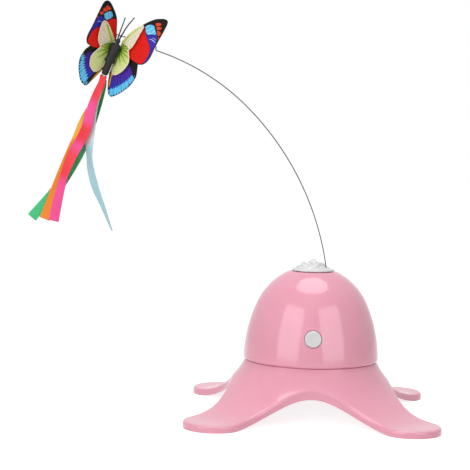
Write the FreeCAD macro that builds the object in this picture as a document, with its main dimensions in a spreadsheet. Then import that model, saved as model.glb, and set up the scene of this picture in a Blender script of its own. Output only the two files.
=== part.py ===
import FreeCAD, Part
import math
import os
import Sketcher
from FreeCAD import Placement, Rotation, Vector

# Rotating butterfly cat toy. Millimetres, +Z up, origin on the floor under the rotor's axis.
# The button faces -Y, the four petals reach out along the diagonals.

SIZES = {
    # Petal base
    "petal_centre": (96.0, "centre of a petal tip's round, out along the diagonal"),
    "petal_round": (22.1, "radius of a petal tip"),
    "arch_reach": (58.0, "distance from the axis to the middle of an arch"),
    "skirt_arc": (62.0, "radius of the flare, seen in section"),
    "flare_reach": (103.9, "where the flare becomes level"),
    "rim_height": (5.0, "height of the petal's edge at its tip"),
    "rim_arc": (64.85, "radius of the edge's lower line, seen in section"),
    "rim_round": (2.0, "rounding along the top of the edge"),
    "shell_wall": (2.6, "wall of the petal base"),
    "ledge_height": (39.1, "top of the deck that carries the dome"),
    "deck_wall": (2.5, "thickness of the deck"),
    "neck_lip": (4.2, "height of the lip that locates the dome"),
    "lip_wall": (2.0, "thickness of that lip"),
    "lip_gap": (0.4, "gap between the lip and the dome"),
    "pad_radius": (8.0, "rubber pad under a petal"),
    "pad_reach": (107.0, "pad centre, out along the diagonal"),
    # Dome
    "dome_rim": (49.9, "outer radius of the dome's lower rim"),
    "dome_gap": (0.3, "gap between the deck and the dome's rim"),
    "dome_edge": (2.4, "height of the straight edge above the rim"),
    "dome_round": (1.8, "rounding of the rim's outer edge"),
    "dome_lean": (2.17, "lean of the side at the rim, degrees"),
    "dome_side_arc": (104.7, "radius of the dome's side"),
    "dome_side_turn": (22.5, "turn of the side, degrees"),
    "dome_crown_arc": (46.8, "radius of the dome's shoulder"),
    "dome_top": (104.6, "height of the flat round the rotor"),
    "dome_wall": (2.5, "wall of the dome"),
    "rotor_opening": (13.2, "radius of the hole that the rotor turns in"),
    "post_radius": (3.6, "screw post inside the dome"),
    "post_height": (18.0, "height of a screw post"),
    "gearbox_boss": (3.0, "radius of a gearbox boss or pillar"),
    # Button and switch
    "button_radius": (6.0, "power button"),
    "button_rise": (21.3, "height of the button's axis above the deck"),
    "button_gap": (0.3, "gap round the button"),
    "button_proud": (1.3, "how far the button stands out of the wall"),
    "button_travel": (1.2, "travel of the button"),
    "button_flange": (7.4, "radius of the flange behind the wall"),
    "flange_wall": (1.2, "thickness of the flange"),
    "stem_radius": (1.7, "stem of the button"),
    "switch_side": (8.0, "side of the push switch"),
    "switch_depth": (7.0, "depth of the push switch"),
    "board_width": (30.0, "circuit board, across"),
    "board_tall": (27.0, "circuit board, up"),
    "board_wall": (1.6, "circuit board, thickness"),
    "board_reach": (31.0, "board's front face, from the axis"),
    "guide_height": (24.0, "height of the board's guides"),
    # Gearbox
    "boss_height": (5.7, "length of a gearbox boss under the dome's top"),
    "plate_wall": (2.4, "thickness of a gear plate"),
    "plate_space": (11.6, "space between the gear plates"),
    "lower_plate": (25.0, "radius of the lower gear plate"),
    "upper_plate": (23.5, "radius of the upper gear plate"),
    "pillar_reach": (17.5, "distance of a pillar from the axis"),
    "tooth_module": (0.5, "gear module"),
    "wheel_teeth": (36, "teeth on a wheel"),
    "pinion_teeth": (10, "teeth on a pinion"),
    "backlash": (0.24, "play between the teeth, along the pitch line"),
    "wheel_wall": (2.5, "thickness of a wheel"),
    "mesh_overrun": (0.4, "how far a pinion stands past the wheel it drives"),
    "gear_float": (0.1, "end float of a gear"),
    "spindle_radius": (1.5, "output spindle"),
    "collar_radius": (3.6, "collar that carries the spindle"),
    "pin_radius": (0.75, "idler pin"),
    "bush_radius": (4.0, "spindle bush"),
    "running_gap": (0.05, "radial clearance of a running fit"),
    "seat_gap": (0.02, "radial clearance of a fixed seat"),
    # Motor
    "can_radius": (10.0, "motor can"),
    "can_flat": (15.4, "width across the can's flats"),
    "can_length": (20.0, "length of the metal can"),
    "bell_length": (4.6, "length of the plastic end bell"),
    "can_wall": (0.8, "wall of the can"),
    "magnet_wall": (1.8, "thickness of a magnet"),
    "armature_radius": (6.4, "armature"),
    "shaft_radius": (1.0, "motor shaft"),
    "motor_bolt_reach": (5.6, "motor screw, from the shaft"),
    # Batteries
    "cell_radius": (7.25, "battery cell"),
    "cell_length": (50.5, "battery cell with its nub"),
    "cell_pitch": (14.8, "distance between neighbouring cells"),
    "tray_wall": (2.0, "wall of the battery tray"),
    "tray_room": (3.3, "room for the springs at a cell's end"),
    "contact_wall": (0.4, "thickness of a contact plate"),
    "door_wall": (2.0, "thickness of the battery door"),
    "ear_reach": (4.5, "screw of a tray ear, from the tray's end"),
    "door_boss_reach": (4.8, "door screw, from the inside of the tray's wall"),
    "nub_radius": (2.75, "positive nub of a cell"),
    "nub_length": (1.0, "length of that nub"),
    "spring_radius": (3.0, "battery spring, to the middle of its wire"),
    "spring_wire": (0.35, "radius of the spring's wire"),
    "door_drop": (14.0, "how far the battery door comes down"),
    # Screws and leads
    "screw_radius": (1.3, "small self-tapping screw"),
    "screw_head": (2.6, "radius of a screw's head"),
    "head_height": (1.8, "height of a screw's head"),
    "screw_wall": (1.9, "plastic round a screw"),
    "lead_radius": (0.6, "insulated lead"),
    # Rotor cap
    "cap_radius": (15.6, "flange of the rotor cap"),
    "cap_gap": (0.5, "running gap under the flange"),
    "cap_edge": (1.5, "height of the flange's edge"),
    "cap_plug": (12.5, "radius of the plug inside the dome's opening"),
    "cap_depth": (5.6, "depth of the plug below the flange"),
    "cap_crown": (5.4, "height of the relief's middle above the flange's underside"),
    "knob_radius": (2.7, "foot of the pointed knob"),
    "knob_height": (8.5, "tip of the knob above the flange's underside"),
    "fold_count": (6, "folds of the flower on the cap"),
    "fold_radius": (1.4, "rounding of a fold"),
    "fold_bow": (2.6, "how far a fold bows to one side"),
    # Wand
    "wire_radius": (0.4, "spring-steel wand"),
    "wand_reach": (9.4, "where the wand leaves the cap, from the axis"),
    "wand_start": (109.3, "height of the wand's first bend"),
    "wand_lean": (9.6, "lean of the wand in its socket, degrees"),
    "wand_low_arc": (207.1, "radius of the wand's lower stretch"),
    "wand_low_turn": (35.74, "turn of the lower stretch, degrees"),
    "wand_high_arc": (168.8, "radius of the wand's upper stretch"),
    "wand_high_turn": (27.56, "turn of the upper stretch, degrees"),
    "socket_depth": (8.0, "depth of the wand's socket"),
    "kick_arc": (1.1, "radius of the small kick near the butterfly"),
    "kick_run": (0.9, "straight stretch inside the kick"),
    "kick_lean": (-8.0, "lean of that stretch, degrees"),
    "tip_lean": (74.3, "lean of the straight tip, degrees"),
    "tip_run": (31.0, "length of the straight tip"),
    "eye_place": (25.9, "place of the hanger eye on the tip"),
    "bead_radius": (0.95, "crimp bead beside the eye"),
    "bead_length": (1.6, "length of a crimp bead"),
    # Butterfly
    "butterfly_lean": (21.5, "lean of the butterfly's body, degrees"),
    "body_front": (5.4, "body's axis in front of the wand"),
    "head_drop": (2.8, "top of the head below the wand"),
    "tail_drop": (31.2, "end of the tail below the wand"),
    "thorax_radius": (3.6, "radius of the thorax"),
    "abdomen_radius": (3.6, "radius of the abdomen"),
    "waist_radius": (3.1, "radius of the waist"),
    "head_radius": (2.2, "radius of the head"),
    "eye_radius": (1.5, "hanger eye, to the middle of its wire"),
    "eye_wire": (0.3, "radius of the eye's wire"),
    "film_wall": (0.3, "thickness of a wing"),
    "root_side": (2.4, "hinge line of a wing beside the body's axis"),
    "root_back": (4.6, "hinge line of a wing behind the body's axis"),
    "right_slope": (34.0, "slope of the right wings, degrees"),
    "left_slope_high": (54.0, "slope of the left wings at the tip, degrees"),
    "left_slope_low": (33.0, "slope of the left wings at the tail, degrees"),
    "inner_lift": (5.0, "extra slope of the inner wings, degrees"),
    "inner_gap": (0.9, "inner wings in front of the outer, at the root"),
    "feeler_radius": (0.4, "feeler wire"),
    # Ribbons
    "ribbon_width": (7.6, "satin ribbon"),
    "ribbon_wall": (0.35, "thickness of a ribbon"),
    "loop_radius": (1.1, "tail loop, to the middle of its wire"),
    "loop_wire": (0.35, "radius of the tail loop's wire"),
    "knot_radius": (1.45, "knot of the ribbons"),
    "knot_waist": (0.7, "knot where it passes through the tail loop"),
}

doc = FreeCAD.newDocument("butterfly_toy")
sheet = doc.addObject("Spreadsheet::Sheet", "dims")
for row, (alias, (size, note)) in enumerate(SIZES.items(), 1):
    sheet.set("A%d" % row, alias)
    sheet.set("B%d" % row, str(size))
    sheet.set("C%d" % row, note)
    sheet.setAlias("B%d" % row, alias)
doc.recompute()


def dim(alias):
    """The value of one driving dimension, read from the sheet."""
    return float(sheet.get(alias))


def polar(reach, degrees, height=0.0):
    """A point at a distance and a direction from the rotor's axis."""
    angle = math.radians(degrees)
    return Vector(reach * math.cos(angle), reach * math.sin(angle), height)


def bind(feature, **expressions):
    """Ties properties of a feature to the sheet."""
    for name, expression in expressions.items():
        feature.setExpression(name.replace("__", "."), expression)


# Primitives and booleans

def cylinder(name, base, radius, height, axis=Vector(0, 0, 1)):
    """A cylinder from a base point; radius and height are expressions."""
    feature = doc.addObject("Part::Cylinder", name)
    bind(feature, Radius=radius, Height=height)
    feature.Placement = Placement(base, Rotation(Vector(0, 0, 1), axis))
    return feature


def box(name, corner, length, width, height):
    """A box from its lowest corner; the three sides are expressions."""
    feature = doc.addObject("Part::Box", name)
    bind(feature, Length=length, Width=width, Height=height)
    feature.Placement = Placement(corner, Rotation())
    return feature


def fuse(name, shapes):
    """The union of several features."""
    feature = doc.addObject("Part::MultiFuse", name)
    feature.Shapes = shapes
    return feature


def group(name, shapes):
    """Separate solids kept side by side in one node."""
    feature = doc.addObject("Part::Compound", name)
    feature.Links = shapes
    return feature


def cut(name, base, tools):
    """A base with one or more tools taken away."""
    feature = doc.addObject("Part::Cut", name)
    feature.Base = base
    feature.Tool = tools[0] if len(tools) == 1 else fuse(name + "_tools", tools)
    return feature


def common(name, one, other):
    """What two features share."""
    feature = doc.addObject("Part::MultiCommon", name)
    feature.Shapes = [one, other]
    return feature


def solid(name, shape):
    """A free form that no sketch or primitive gives."""
    feature = doc.addObject("Part::Feature", name)
    feature.Shape = shape
    return feature


# Sketched bodies

def origin_plane(body, role):
    """One of a body's own origin planes, found by its role."""
    for plane in body.Origin.OriginFeatures:
        if plane.Role == role:
            return plane


def sketch(body, role, name):
    """An empty sketch on one of the body's origin planes."""
    drawing = body.newObject("Sketcher::SketchObject", name)
    drawing.AttachmentSupport = [(origin_plane(body, role), "")]
    drawing.MapMode = "FlatFace"
    return drawing


def arc_centre(start, end, radius, bulge):
    """Centre of the short arc from start to end; bulge 1 turns left, -1 turns right."""
    middle = (start + end) * 0.5
    chord = end - start
    half = chord.Length * 0.5
    left = Vector(-chord.y, chord.x, 0).normalize()
    return middle + left * (bulge * math.sqrt(radius * radius - half * half))


def outline(drawing, start, steps):
    """Draws a closed outline. A step is (x, y) for a line or (x, y, radius, bulge) for an arc.

    Every corner and radius is held by a constraint of its own.
    """
    here = Vector(start[0], start[1], 0)
    first = here
    pieces = []
    for step in steps:
        there = Vector(step[0], step[1], 0)
        if len(step) == 2:
            index = drawing.addGeometry(Part.LineSegment(here, there), False)
            ends = (1, 2)
        else:
            centre = arc_centre(here, there, step[2], step[3])
            angles = [math.atan2(p.y - centre.y, p.x - centre.x) for p in (here, there)]
            ends = (1, 2)
            if step[3] < 0:
                angles.reverse()
                ends = (2, 1)
            if angles[1] < angles[0]:
                angles[1] += 2 * math.pi
            circle = Part.Circle(centre, Vector(0, 0, 1), step[2])
            index = drawing.addGeometry(Part.ArcOfCircle(circle, angles[0], angles[1]), False)
            drawing.addConstraint(Sketcher.Constraint("Radius", index, step[2]))
        pieces.append((index, ends, there))
        here = there
    if (here - first).Length > 1e-6:
        raise ValueError("open outline in " + drawing.Name)
    for number, (index, ends, there) in enumerate(pieces):
        after, after_ends, _ = pieces[(number + 1) % len(pieces)]
        drawing.addConstraint(Sketcher.Constraint("Coincident", index, ends[1], after, after_ends[0]))
        drawing.addConstraint(Sketcher.Constraint("DistanceX", index, ends[1], there.x))
        drawing.addConstraint(Sketcher.Constraint("DistanceY", index, ends[1], there.y))


def circle(drawing, x, y, radius, expression):
    """A circle held at a point, with its radius tied to the sheet."""
    index = drawing.addGeometry(Part.Circle(Vector(x, y, 0), Vector(0, 0, 1), radius), False)
    drawing.addConstraint(Sketcher.Constraint("DistanceX", index, 3, x))
    drawing.addConstraint(Sketcher.Constraint("DistanceY", index, 3, y))
    held = drawing.addConstraint(Sketcher.Constraint("Radius", index, radius))
    drawing.setExpression("Constraints[%d]" % held, expression)


def revolve(body, name, start, steps):
    """A full turn, about the body's Z axis, of a profile of (radius, height) corners."""
    drawing = sketch(body, "XZ_Plane", name + "_profile")
    outline(drawing, start, steps)
    feature = body.newObject("PartDesign::Revolution", name)
    feature.Profile = drawing
    feature.ReferenceAxis = (drawing, ["V_Axis"])
    feature.Angle = 360
    return feature


def pad(body, name, drawing, length):
    """A pad upwards by an expression's length."""
    feature = body.newObject("PartDesign::Pad", name)
    feature.Profile = drawing
    bind(feature, Length=length)
    return feature


def pocket(body, name, drawing, length):
    """A pocket upwards from its sketch by an expression's length."""
    feature = body.newObject("PartDesign::Pocket", name)
    feature.Profile = drawing
    feature.Reversed = True
    bind(feature, Length=length)
    return feature


parts = {}


def keep(name, feature):
    """Marks a feature as a finished sub-part and gives it its label."""
    feature.Label = name
    parts[name] = feature
    return feature


# Values that several sub-parts share

DIAGONALS = (45, 135, 225, 315)
petal_reach = dim("petal_centre") + dim("petal_round")
deck_under = dim("ledge_height") - dim("deck_wall")
dome_base = dim("ledge_height") + dim("dome_gap")
dome_inside = dim("dome_rim") - dim("dome_wall")
dome_ceiling = dim("dome_top") - dim("dome_wall")
button_high = dim("ledge_height") + dim("button_rise")
post_reach = dome_inside - dim("post_radius")
cap_base = dim("dome_top") + dim("cap_gap")
sink = 0.2
board_front = -dim("board_reach")
guide_play = 0.05
switch_front = dim("board_reach") + dim("switch_depth")
stem_bite = 1.0
PILLARS = (150, 225, 300)
TRAIN_DIRECTIONS = (0, 100, 170)
gearbox_top = dome_ceiling - dim("boss_height")
plate_top = gearbox_top - dim("plate_wall") - dim("plate_space")
gearbox_low = plate_top - dim("plate_wall")
spindle_top = cap_base - 0.1
motor_boss = 3.0
motor_bottom = gearbox_low - dim("can_length") - dim("bell_length")
terminal_side = 6.5
tray_half = (dim("cell_length") + dim("tray_room") + 2 * dim("contact_wall")) / 2
tray_side = 1.5 * dim("cell_pitch") + 0.2
tray_roof = 1.8
cell_height = deck_under - tray_roof - 0.15 - dim("cell_radius")
tray_floor = cell_height - dim("cell_radius") - 0.75
ear_reach = tray_half + dim("tray_wall") + dim("ear_reach")
door_screw_reach = tray_side + dim("door_boss_reach")
lead_reach = tray_side + dim("tray_wall") + 4.1
lead_low = deck_under - 4.3
lead_high = dim("ledge_height") + 5.2
battery_pads = dim("ledge_height") + 8.7
motor_pads = dim("ledge_height") + 13.7


# Petal base: a thin flared shell with four petals and four arches

def arch_radius():
    """Radius of the arch arc that meets the petal tips' rounds smoothly."""
    side = dim("petal_centre") / math.sqrt(2)
    shift = dim("arch_reach") - side
    tip = dim("petal_round")
    return (shift ** 2 + side ** 2 - tip ** 2) / (2 * (tip - shift))


def petal_outline(inset):
    """Corners and arcs of the plan outline, drawn in by a distance."""
    tip = dim("petal_round") - inset
    arch = arch_radius() + inset
    side = dim("petal_centre") / math.sqrt(2)
    away = dim("arch_reach") + arch_radius()
    centre = Vector(side, side, 0)
    local = []
    for towards in (Vector(away, 0, 0) - centre, Vector(centre), Vector(0, away, 0) - centre):
        local.append(centre + towards.normalize() * tip)
    points = []
    for quarter in range(4):
        turn = Rotation(Vector(0, 0, 1), 90 * quarter)
        points += [turn.multVec(point) for point in local]
    steps = []
    for number in range(1, 13):
        point = points[number % 12]
        if number % 3:
            steps.append((point.x, point.y, tip, 1))
        else:
            steps.append((point.x, point.y, arch, -1))
    return (points[0].x, points[0].y), steps


def flare_radius_at(height, arc, centre_height):
    """Distance from the axis of a flare arc at a height."""
    drop = centre_height - height
    return dim("flare_reach") - math.sqrt(arc ** 2 - drop ** 2)


def petal_prism(body, name, inset, blank_reach):
    """Cuts a round blank to the petal outline."""
    drawing = sketch(body, "XY_Plane", name + "_plan")
    start, steps = petal_outline(inset)
    outline(drawing, start, steps)
    circle(drawing, 0, 0, blank_reach, "dims.petal_centre + dims.petal_round + 8")
    return pocket(body, name, drawing, "dims.ledge_height + 10")


def make_petal_blank():
    """The petal base before it is hollowed: flared top, edge and deck."""
    body = doc.addObject("PartDesign::Body", "petal_blank")
    centre = dim("rim_height") + dim("skirt_arc")
    reach = petal_reach + 4
    ledge = dim("ledge_height")
    top = (flare_radius_at(ledge, dim("skirt_arc"), centre), ledge)
    low = (flare_radius_at(deck_under, dim("rim_arc"), dim("rim_arc")), deck_under)
    flare = dim("flare_reach")
    revolve(body, "flare", (0, deck_under), [
        low,
        (flare, 0, dim("rim_arc"), 1),
        (reach, 0),
        (reach, dim("rim_height")),
        (flare, dim("rim_height")),
        top + (dim("skirt_arc"), -1),
        (0, ledge),
        (0, deck_under),
    ])
    petals = petal_prism(body, "petals", 0.0, petal_reach + 8)
    doc.recompute()
    rounded = body.newObject("PartDesign::Fillet", "edge_round")
    rounded.Base = (petals, top_edges(petals.Shape))
    bind(rounded, Radius="dims.rim_round")
    body.Tip = rounded
    return body


def flare_top(reach):
    """Height of the flared top surface at a distance from the axis."""
    centre = dim("rim_height") + dim("skirt_arc")
    if reach >= dim("flare_reach"):
        return dim("rim_height")
    return centre - math.sqrt(dim("skirt_arc") ** 2 - (dim("flare_reach") - reach) ** 2)


def top_edges(shape):
    """Edges where the flared top meets the petal outline's upright wall."""
    names = []
    for number, edge in enumerate(shape.Edges, 1):
        middle = edge.valueAt((edge.FirstParameter + edge.LastParameter) / 2)
        reach = math.hypot(middle.x, middle.y)
        along = edge.tangentAt((edge.FirstParameter + edge.LastParameter) / 2)
        on_top = abs(middle.z - flare_top(reach)) < 1e-3
        outside = reach > dim("arch_reach") - 1
        walls = [f for f in shape.Faces if any(edge.isSame(e) for e in f.Edges)]
        upright = any(f.Surface.TypeId == "Part::GeomCylinder" for f in walls)
        if on_top and outside and upright and abs(along.z) < 0.9:
            names.append("Edge%d" % number)
    return names


def make_petal_hollow():
    """The space under the petal base, which leaves a wall and a turned-down edge."""
    body = doc.addObject("PartDesign::Body", "petal_hollow")
    arc = dim("skirt_arc") + dim("shell_wall")
    centre = dim("rim_height") + dim("skirt_arc")
    inner = (flare_radius_at(deck_under, arc, centre), deck_under)
    reach = petal_reach + 4
    under_tip = dim("rim_height") - dim("shell_wall")
    below = -4
    revolve(body, "under_flare", (0, below), [
        (reach, below),
        (reach, under_tip),
        (dim("flare_reach"), under_tip),
        inner + (arc, -1),
        (0, deck_under),
        (0, below),
    ])
    drawing = sketch(body, "XY_Plane", "inner_plan")
    start, steps = petal_outline(dim("shell_wall"))
    outline(drawing, start, steps)
    circle(drawing, 0, 0, petal_reach + 8, "dims.petal_centre + dims.petal_round + 8")
    feature = pocket(body, "inner_edge", drawing, "2 * dims.ledge_height")
    feature.Midplane = True
    return body


def make_petal_base():
    """The petal base with its deck, neck lip, screw holes and board guides."""
    shell = cut("petal_shell", make_petal_blank(), [make_petal_hollow()])
    ledge = dim("ledge_height")
    ring = cylinder("lip_ring", Vector(0, 0, ledge - sink), "dims.dome_rim - dims.dome_wall - dims.lip_gap",
                    "dims.neck_lip")
    bore = cylinder("lip_bore", Vector(0, 0, ledge - 2 * sink),
                    "dims.dome_rim - dims.dome_wall - dims.lip_gap - dims.lip_wall", "2 * dims.neck_lip")
    slots = [bore]
    takes = []
    for number, degrees in enumerate(DIAGONALS, 1):
        slots.append(cylinder("lip_slot%d" % number, polar(post_reach, degrees, ledge - 2 * sink),
                              "dims.post_radius + dims.lip_gap", "2 * dims.neck_lip"))
        takes.append(cylinder("dome_screw_hole%d" % number, polar(post_reach, degrees),
                              "dims.screw_radius + dims.button_gap", "2 * dims.ledge_height"))
    adds = [shell, cut("neck_ring", ring, slots)]
    for side in (-1, 1):
        name = "right" if side > 0 else "left"
        ear = Vector(side * ear_reach, 0, ledge - sink)
        adds.append(cylinder(name + "_tray_boss", ear, "dims.screw_radius + dims.screw_wall",
                             "dims.neck_lip"))
        takes.append(cylinder(name + "_tray_hole", Vector(ear.x, 0, deck_under - 1),
                              "dims.screw_radius + dims.running_gap", "dims.deck_wall + dims.neck_lip"))
        adds.append(board_guide(name, side))
    takes.append(cylinder("lead_hole", Vector(0, lead_reach, deck_under - 1), "5 * dims.lead_radius",
                          "2 * dims.deck_wall"))
    body = fuse("petal_base_body", adds)
    return keep("petal_base", cut("petal_base_cut", body, takes))


def board_guide(name, side):
    """An upright post with a groove that one edge of the circuit board slides into."""
    width = 4.0
    depth = 5.0
    bite = 1.2
    edge = dim("board_width") / 2
    slot = dim("board_wall") + 2 * guide_play
    low = min(side * (edge - bite), side * (edge - bite + width))
    corner = Vector(low, board_front - depth / 2 + slot / 2, dim("ledge_height") - sink)
    post = box(name + "_guide_post", corner, "%g" % width, "%g" % depth, "dims.guide_height")
    low = min(side * (edge + guide_play), side * (edge - width))
    corner = Vector(low, board_front - guide_play, dim("ledge_height") - 1)
    groove = box(name + "_guide_groove", corner, "%g" % (width + guide_play),
                 "dims.board_wall + %g" % (2 * guide_play), "2 * dims.guide_height")
    return cut(name + "_guide", post, [groove])


def make_foot_pads():
    """Four rubber pads that fill the hollow under the petal tips down to the floor."""
    pads = []
    for number, degrees in enumerate(DIAGONALS, 1):
        pads.append(cylinder("foot_pad%d" % number, polar(dim("pad_reach"), degrees), "dims.pad_radius",
                             "dims.rim_height - dims.shell_wall"))
    return keep("foot_pads", group("foot_pad_set", pads))


# Dome

class DomeSection:
    """Centres and joints of the dome's two arcs, outside or drawn in by a wall."""

    def __init__(self, wall):
        lean = math.radians(dim("dome_lean"))
        turned = lean + math.radians(dim("dome_side_turn"))
        side = dim("dome_side_arc")
        crown = dim("dome_crown_arc")
        start = Vector(dim("dome_rim"), dome_base + dim("dome_edge"), 0)
        self.side_centre = start - Vector(math.cos(lean), math.sin(lean), 0) * side
        joint = self.side_centre + Vector(math.cos(turned), math.sin(turned), 0) * side
        self.crown_centre = joint - Vector(math.cos(turned), math.sin(turned), 0) * crown
        self.side = side - wall
        self.crown = crown - wall
        self.start = self.side_centre + Vector(math.cos(lean), math.sin(lean), 0) * self.side
        self.joint = self.side_centre + Vector(math.cos(turned), math.sin(turned), 0) * self.side

    def reach(self, height):
        """Distance from the axis at a height."""
        if height > self.joint.y:
            rise = height - self.crown_centre.y
            return self.crown_centre.x + math.sqrt(self.crown ** 2 - rise ** 2)
        rise = height - self.side_centre.y
        return self.side_centre.x + math.sqrt(self.side ** 2 - rise ** 2)


def make_dome_shell():
    """The pink dome: a thin bell with a button hole, screw posts and gearbox bosses."""
    body = doc.addObject("PartDesign::Body", "dome_bell")
    outer = outer_dome
    inner = inner_dome
    top = dim("dome_top")
    ceiling = dome_ceiling
    opening = dim("rotor_opening")
    revolve(body, "bell", (inner.start.x, dome_base), [
        (dim("dome_rim") - dim("dome_round"), dome_base),
        (dim("dome_rim"), dome_base + dim("dome_round"), dim("dome_round"), 1),
        (outer.start.x, outer.start.y),
        (outer.joint.x, outer.joint.y, outer.side, 1),
        (outer.reach(top), top, outer.crown, 1),
        (opening, top),
        (opening, ceiling),
        (inner.reach(ceiling), ceiling),
        (inner.joint.x, inner.joint.y, inner.crown, -1),
        (inner.start.x, inner.start.y, inner.side, -1),
        (inner.start.x, dome_base),
    ])
    adds = [body]
    takes = [cylinder("button_hole", Vector(0, -dim("dome_rim") - 5, button_high),
                      "dims.button_radius + dims.button_gap", "dims.dome_rim / 2", Vector(0, 1, 0))]
    for number, degrees in enumerate(DIAGONALS, 1):
        adds.append(cylinder("dome_post%d" % number, polar(post_reach, degrees, dim("ledge_height")),
                             "dims.post_radius", "dims.post_height"))
        takes.append(cylinder("post_hole%d" % number, polar(post_reach, degrees, dim("ledge_height") - 1),
                              "dims.screw_radius + dims.running_gap", "dims.post_height - 1"))
    for number, degrees in enumerate(PILLARS, 1):
        adds.append(cylinder("gearbox_boss%d" % number, polar(dim("pillar_reach"), degrees, gearbox_top),
                             "dims.gearbox_boss", "%g" % (ceiling + 0.3 - gearbox_top)))
        takes.append(cylinder("boss_hole%d" % number, polar(dim("pillar_reach"), degrees, gearbox_top - 1),
                              "dims.screw_radius + dims.running_gap", "%g" % (ceiling - gearbox_top - 0.2)))
    whole = fuse("dome_with_posts", adds)
    return keep("dome_shell", cut("dome_cut", whole, takes))


def screw(name, head_base, length, axis=Vector(0, 0, 1)):
    """A pan-head screw: the head starts at head_base and the shank runs on along the axis."""
    head = cylinder(name + "_head", head_base, "dims.screw_head", "dims.head_height", axis)
    shank = cylinder(name + "_shank", head_base + axis * (dim("head_height") - sink), "dims.screw_radius",
                     "%g" % (length + sink), axis)
    return fuse(name, [head, shank])


def make_dome_screws():
    """Four screws from under the deck up into the dome's posts."""
    screws = []
    length = dim("deck_wall") + dim("post_height") - 4
    for number, degrees in enumerate(DIAGONALS, 1):
        base = polar(post_reach, degrees, deck_under - dim("head_height"))
        screws.append(screw("dome_screw%d" % number, base, length))
    return keep("dome_screws", group("dome_screw_set", screws))


outer_dome = DomeSection(0)
inner_dome = DomeSection(dim("dome_wall"))
button_face = outer_dome.reach(button_high) + dim("button_proud")
flange_front = inner_dome.reach(button_high + dim("button_flange")) - dim("lip_gap")


# Button, switch and board

def make_power_button():
    """White button with a flange behind the wall and a stem into the switch."""
    axis = Vector(0, 1, 0)
    high = button_high
    face = Vector(0, -button_face, high)
    flange = Vector(0, -flange_front, high)
    head = cylinder("button_head", face, "dims.button_radius", "%g" % (button_face - flange_front + sink), axis)
    crown = doc.addObject("Part::Fillet", "button_crown")
    crown.Base = head
    doc.recompute()
    front = [n for n, e in enumerate(head.Shape.Edges, 1)
             if len(e.Vertexes) == 1 and abs(e.CenterOfMass.y + button_face) < 1e-6]
    crown.Edges = [(number, 0.8, 0.8) for number in front]
    skirt = cylinder("button_skirt", flange, "dims.button_flange", "dims.flange_wall", axis)
    stem_start = flange + axis * (dim("flange_wall") - sink)
    stem_length = flange_front - dim("flange_wall") - switch_front + stem_bite + sink
    stem = cylinder("button_stem", stem_start, "dims.stem_radius", "%g" % stem_length, axis)
    return keep("power_button", fuse("button_body", [crown, skirt, stem]))


def make_push_switch():
    """The square push switch that the button's stem works."""
    side = dim("switch_side")
    high = button_high
    case = box("switch_case", Vector(-side / 2, -switch_front, high - side / 2), "dims.switch_side",
               "dims.switch_depth", "dims.switch_side")
    well = cylinder("switch_well", Vector(0, -switch_front - 1, high), "dims.stem_radius + 2 * dims.running_gap",
                    "%g" % (1 + stem_bite + dim("button_travel") + 0.5), Vector(0, 1, 0))
    return keep("push_switch", cut("switch_cut", case, [well]))


def make_circuit_board():
    """The board that stands on the deck between its two guides."""
    corner = Vector(-dim("board_width") / 2, board_front, dim("ledge_height"))
    return keep("circuit_board", box("board_plate", corner, "dims.board_width", "dims.board_wall",
                                     "dims.board_tall"))


def make_board_components():
    """A timer chip, a capacitor and a transistor on the board's front."""
    base = board_front
    floor = dim("ledge_height")
    chip = box("timer_chip", Vector(-9, base - 1.5, floor + 4), "6", "1.5", "4")
    can = cylinder("capacitor", Vector(4, base, floor + 7), "2.5", "7", Vector(0, -1, 0))
    switcher = box("transistor", Vector(9, base - 2, floor + 5), "3", "2", "4")
    return keep("board_components", group("component_set", [chip, can, switcher]))


# Gear train

def involute(angle):
    """The involute function of a pressure angle."""
    return math.tan(angle) - angle


def gear_face(teeth, phase):
    """Plan of a spur gear about the origin, with one tooth centred on the phase angle."""
    module = dim("tooth_module")
    pressure = math.radians(20)
    pitch = module * teeth / 2
    base = pitch * math.cos(pressure)
    tip = pitch + 0.8 * module
    root = pitch - 1.05 * module
    foot = max(base, root)
    half_tooth = (math.pi * module - dim("backlash")) / (4 * pitch)

    def spread(reach):
        return half_tooth + involute(pressure) - involute(math.acos(min(1.0, base / reach)))

    def point(reach, angle):
        return Vector(reach * math.cos(angle), reach * math.sin(angle), 0)

    middle = (foot + tip) / 2
    edges = []
    for tooth in range(teeth):
        centre = phase + 2 * math.pi * tooth / teeth
        following = centre + 2 * math.pi / teeth
        rise = [point(r, centre - spread(r)) for r in (foot, middle, tip)]
        fall = [point(r, centre + spread(r)) for r in (tip, middle, foot)]
        low = point(root, centre - spread(foot))
        end = point(root, centre + spread(foot))
        next_low = point(root, following - spread(foot))
        if root < base:
            edges.append(Part.LineSegment(low, rise[0]).toShape())
        edges.append(Part.Arc(*rise).toShape())
        edges.append(Part.Arc(rise[2], point(tip, centre), fall[0]).toShape())
        edges.append(Part.Arc(*fall).toShape())
        if root < base:
            edges.append(Part.LineSegment(fall[2], end).toShape())
        valley = point(root, (centre + following) / 2)
        edges.append(Part.Arc(end, valley, next_low).toShape())
    return Part.Face(Part.Wire(edges))


def gear(teeth, phase, low, high):
    """A toothed disc about the Z axis between two heights."""
    face = gear_face(teeth, phase)
    face.translate(Vector(0, 0, low))
    return face.extrude(Vector(0, 0, high - low))


def rod(radius, low, high):
    """A plain round about the Z axis between two heights."""
    return Part.makeCylinder(radius, high - low, Vector(0, 0, low))


def meshing_phase(driver_teeth, driver_phase, driven_teeth, direction):
    """Phase of a driven gear whose gap meets the driver's tooth, seen along a direction."""
    turned = driver_teeth * (direction - driver_phase)
    return direction + math.pi - (math.pi - turned) / driven_teeth


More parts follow.
